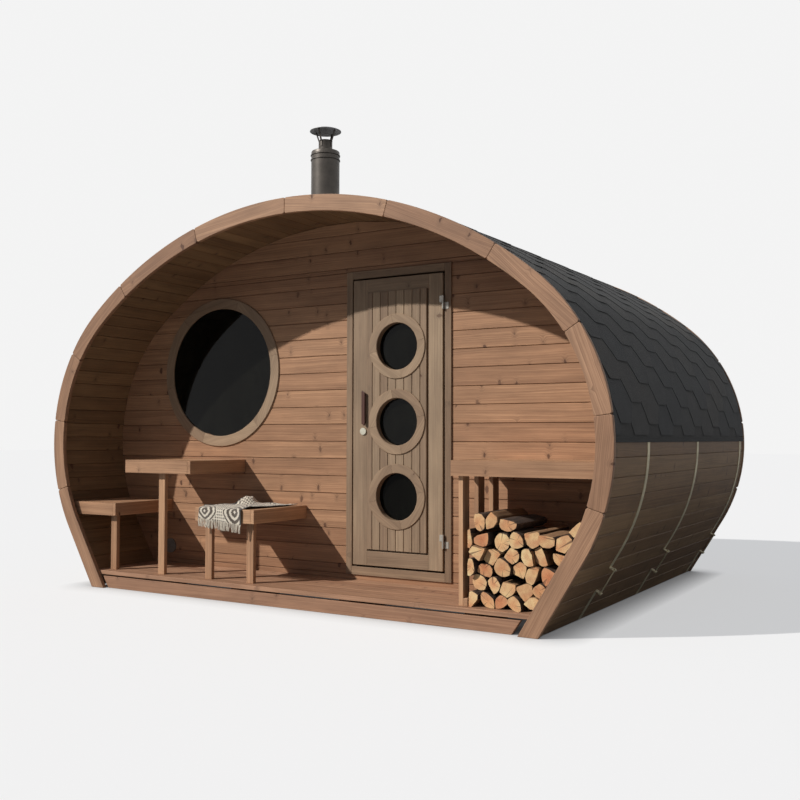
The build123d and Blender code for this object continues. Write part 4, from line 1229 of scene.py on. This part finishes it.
# Throw over the right bench
HEAP = Vector((-0.56, 0.355))
HEAP_REACH = Vector((0.06, 0.07))
HEAP_RISE = 0.058
CLOTH_LIFT = 0.0028
CLOTH_BEND = 0.012
CLOTH_THICKNESS = 0.003
HANG_STEPS = 8
BEND_STEPS = 6
TOP_STEPS = 44
COLUMNS = 40
FRINGE_ROOM = 0.058
TASSEL_PITCH = 0.0135
STRANDS = 6
STRAND_STEPS = 6
STRAND_RADIUS = 0.0012


def throw_rows():
    """Points of the cloth, row by row, from its front hem to the back"""
    start, end = low("throw"), high("throw")
    seat = high("right_bench_seat").z
    front = low("right_bench_seat").y
    back = end.y - 0.02
    bend = CLOTH_BEND
    drop = seat - start.z - FRINGE_ROOM - bend
    face = front - CLOTH_LIFT - 0.001
    path = [(face, seat - bend - drop * (1 - step / HANG_STEPS)) for step in range(HANG_STEPS + 1)]
    for step in range(1, BEND_STEPS + 1):
        turn = math.pi / 2 * step / BEND_STEPS
        height = seat - bend + (bend + CLOTH_LIFT) * math.sin(turn)
        path.append((face + bend * (1 - math.cos(turn)), height))
    first_top = path[-1][0]
    for step in range(1, TOP_STEPS + 1):
        path.append((first_top + (back - first_top) * step / TOP_STEPS, seat + CLOTH_LIFT))

    def wave(x, y, number):
        """Smooth random value of the cloth's plan"""
        return noise.noise(Vector((x, y, number)))

    rows = []
    for y, z in path:
        row = []
        depth = max(0.0, y - front) / (back - front)
        width = end.x - start.x - 0.02 + 0.065 * depth
        on_top = max(0.0, min(1.0, (y - first_top) / 0.05))
        for column in range(COLUMNS + 1):
            share = column / COLUMNS
            x = start.x + 0.004 + width * share
            away_x, away_y = (x - HEAP.x) / HEAP_REACH.x, (y - FRONT - HEAP.y) / HEAP_REACH.y
            heap = HEAP_RISE * math.exp(-(math.hypot(away_x, away_y) ** 3.6))
            heap *= 0.85 + 0.2 * wave(x * 38.0, y * 30.0, 5.0)
            folds = 0.006 + 0.007 * wave(x * 11.0, y * 7.0, 3.0)
            folds += 0.004 * wave(x * 30.0, y * 16.0, 8.0)
            rise = max(0.0, on_top * (folds + heap))
            skew = 0.012 * wave(x * 5.0, y * 4.0, 20.0) * on_top
            billow = 0.0
            if z < seat:
                billow = (1 - on_top) * (0.004 + 0.004 * math.sin(x * 45 + z * 20))
            lifted = max(0.0, seat - bend - z) * 0.36 * (1 - share) ** 0.8
            row.append(Vector((x + skew, y - abs(billow), z + lifted + rise)))
        rows.append(row)
    return rows


def throw():
    """Woven throw: it hangs over the front edge and lies back, pushed up in one soft heap"""
    rows = throw_rows()
    count = COLUMNS + 1
    faces = []
    for number in range(len(rows) - 1):
        for column in range(COLUMNS):
            base = number * count + column
            faces.append((base, base + 1, base + count + 1, base + count))
    mesh = bpy.data.meshes.new("woven_throw")
    mesh.from_pydata([tuple(point) for row in rows for point in row], [], faces)
    mesh.materials.append(WEAVE)
    grain = []
    along = 0.0
    middle = COLUMNS // 2
    for number, row in enumerate(rows):
        if number:
            along += (row[middle] - rows[number - 1][middle]).length
        across = 0.0
        for column, point in enumerate(row):
            if column:
                across += (point - row[column - 1]).length
            grain += [across, along, 0.0]
    edge = [0.0 if column >= COLUMNS - 1 else 1.0 for column in range(count)] * len(rows)
    mesh.attributes.new("grain", "FLOAT_VECTOR", "POINT").data.foreach_set("vector", grain)
    mesh.attributes.new("edge", "FLOAT", "POINT").data.foreach_set("value", edge)
    mesh.polygons.foreach_set("use_smooth", [True] * len(mesh.polygons))
    piece = place_piece(mesh, "woven_throw", "cabin", ("throw",))
    thick = piece.modifiers.new("cloth_thickness", "SOLIDIFY")
    thick.thickness = CLOTH_THICKNESS
    thick.offset = 0
    smooth = piece.modifiers.new("cloth_smooth", "SUBSURF")
    smooth.levels = 1
    smooth.render_levels = 1
    tassels = fringe(rows[0])


def fringe(hem):
    """Knotted tassels along the front hem, each of several strands"""
    pile = Pile(71)
    draw = pile.draw
    roots = []
    place = TASSEL_PITCH / 2
    for left, right in zip(hem, hem[1:]):
        length = (right - left).length
        while place < length:
            roots.append(left.lerp(right, place / length))
            place += TASSEL_PITCH
        place -= length
    circle = full_turn(6)[:-1]
    for root in roots:
        reach = draw.uniform(0.046, 0.056)
        lean = draw.uniform(-0.009, 0.009)
        for strand in range(STRANDS):
            apart = (strand - 2.5) * 0.0011
            spread = apart * draw.uniform(1.0, 2.4)
            sway = draw.uniform(-0.003, 0.003)
            loops = []
            for step in range(STRAND_STEPS + 1):
                share = step / STRAND_STEPS
                gather = abs(share - 0.16) / 0.16 if share < 0.16 else 1.0
                x = root.x + apart * 1.6 * (1 - share) * gather + spread * share
                x += lean * share**1.5 + sway * math.sin(share * 5)
                y = root.y - 0.001 - 0.002 * math.sin(share * 3.1) - 0.001 * (strand % 2)
                z = root.z + 0.002 - reach * share
                size = STRAND_RADIUS * (1 - 0.25 * share)
                loops.append([(x + size * c, y + size * s, z) for c, s in circle])
            pile.loft(loops, ALONG_Z)
    return pile.build("throw_fringe", [COTTON], smooth=60)


# Skirt under the deck
SKIRT_DROP = 0.007
SKIRT_REACH = 0.03


def front_skirt():
    """Board under the deck's edge, lower than its solid for the dark gap and longer on the left"""
    skirt = dress("front_skirt", "front_skirt_board", DECK_WOOD, 0.002, 25)
    top = high("front_skirt").z
    for corner in skirt.data.vertices:
        if corner.co.z > top - 0.004:
            corner.co.z -= SKIRT_DROP
        if corner.co.x < 0:
            corner.co.x -= SKIRT_REACH


def tint(material, *nodes):
    """Gives carried-over nodes a material"""
    for node in nodes:
        mesh_object = NODES[node]
        if not mesh_object.material_slots:
            mesh_object.data.materials.append(material)
        for place in mesh_object.material_slots:
            place.link = "OBJECT"
            place.material = material


# Everything in place
front_wall()
rear_wall()
staves()
roof()
floor_boards("porch_deck", "deck_boards", 11)
floor_boards("cabin_floor", "cabin_floor_boards", 12)
porch_top("table_top", 13)
porch_top("left_bench_seat", 14)
porch_top("right_bench_seat", 15)
store()
dress("front_ring", "front_ring_boards", RING_WOOD, 0.003, 23)
dress("rear_ring", "rear_ring_boards", RING_WOOD, 0.003, 24)
front_skirt()
dress("rear_skirt", "rear_skirt_board", DECK_WOOD, 0.002, 26)
dress("floor_joists", "joist_boards", DECK_WOOD, 0.002, 27)
dress("porch_legs", "leg_posts", TOP_WOOD, 0.003, 28)
dress("door_jambs", "jamb_boards", JAMB_WOOD, 0.002, 29)
dress("door_head", "head_board", JAMB_WOOD, 0.002, 30)
dress("door_threshold", "threshold_board", JAMB_WOOD, 0.002, 31)
door()
window()
chimney()
firewood()
throw()
dress("door_handle", "handle_grip", HANDLE_WOOD, 0.004, 46, "door")
tint(SHINGLE, "roof_edges")
tint(CHIMNEY_STEEL, "cap_struts", "roof_collar")
tint(VENT_METAL, "vent_cover")
tint(BAND_STEEL, "bands", "band_rods")
tint(HINGE_STEEL, "hinge_pins", "hinge_sockets")
tint(LOCK_METAL, "door_lock")

# Camera, fitted to the photograph's view
CAMERA_PLACE = Vector((3.5251, -5.9347, 0.9959))
CAMERA_AIM = Vector((-0.51865, 0.85409, 0.03902))
CAMERA_ROLL = -0.00176
scene = bpy.context.scene
camera_data = bpy.data.cameras.new("camera")
camera_data.lens = 43.5
camera_data.sensor_width = 36
camera = bpy.data.objects.new("camera", camera_data)
scene.collection.objects.link(camera)
aimed = CAMERA_AIM.to_track_quat("-Z", "Y").to_matrix().to_4x4()
rolled = Matrix.Rotation(-CAMERA_ROLL, 4, "Z")
camera.matrix_world = Matrix.Translation(CAMERA_PLACE) @ aimed @ rolled
scene.camera = camera

# Light: a low key from the front left, and a pale room around
SUN_WAY = Vector((0.512, 0.632, -0.58))
sun_data = bpy.data.lights.new("key", "SUN")
sun_data.energy = 3.7
sun_data.angle = math.radians(1.0)
sun_data.color = (1.0, 0.97, 0.93)
sun = bpy.data.objects.new("key", sun_data)
sun.matrix_world = SUN_WAY.to_track_quat("-Z", "Y").to_matrix().to_4x4()
scene.collection.objects.link(sun)

PALE = (0.9, 0.9, 0.9, 1)
FILL_COLOUR = (0.8, 0.96, 1.24, 1)
FILL_STRENGTH = 0.13
world = bpy.data.worlds.new("studio")
scene.world = world
world.use_nodes = True
room = Graph(world.node_tree)
fill = world.node_tree.nodes["Background"]
fill.inputs["Color"].default_value = FILL_COLOUR
fill.inputs["Strength"].default_value = FILL_STRENGTH
rays = room.node("LightPath").outputs
direct = room.math("MAXIMUM", rays["Is Camera Ray"], rays["Is Glossy Ray"])
direct = room.math("MAXIMUM", direct, rays["Is Transmission Ray"])
seen = room.node("Background", {"Color": PALE})
chosen = room.node("MixShader", {0: direct, 1: fill.outputs[0], 2: seen.outputs[0]})
room.set(world.node_tree.nodes["World Output"].inputs["Surface"], chosen.outputs[0])

# Floor: it glows for the camera, less close to the object where the dimming is painted shade, and
# keeps the shadow
FLOOR_REACH = 60
FLOOR_DROP = 0.0005
FLOOR_GLOW = 0.55
corners = [(x * FLOOR_REACH, y * FLOOR_REACH) for x, y in ((-1, -1), (1, -1), (1, 1), (-1, 1))]
floor_mesh = bpy.data.meshes.new("studio_floor")
floor_mesh.from_pydata([(x, y, -FLOOR_DROP) for x, y in corners], [], [(0, 1, 2, 3)])
floor = bpy.data.objects.new("studio_floor", floor_mesh)
scene.collection.objects.link(floor)
ground = Shader("studio_floor")
by_camera = ground.node("LightPath").outputs["Is Camera Ray"]
shade = ground.mix(by_camera, paint(0.41), paint(0.42))
# Painted shade: ambient occlusion dims the floor's glow close to the object, as a painted contact
# shadow
openness = ground.node("AmbientOcclusion", {"Distance": 0.22}).outputs["AO"]
glow = ground.times(by_camera, ground.times(ground.math("POWER", openness, 1.2), FLOOR_GLOW))
plain = {"Specular IOR Level": 0.0, "Emission Color": paint(WHITE), "Emission Strength": glow}
floor_mesh.materials.append(ground.finish(shade, 1.0, **plain))

scene.view_settings.view_transform = "Standard"
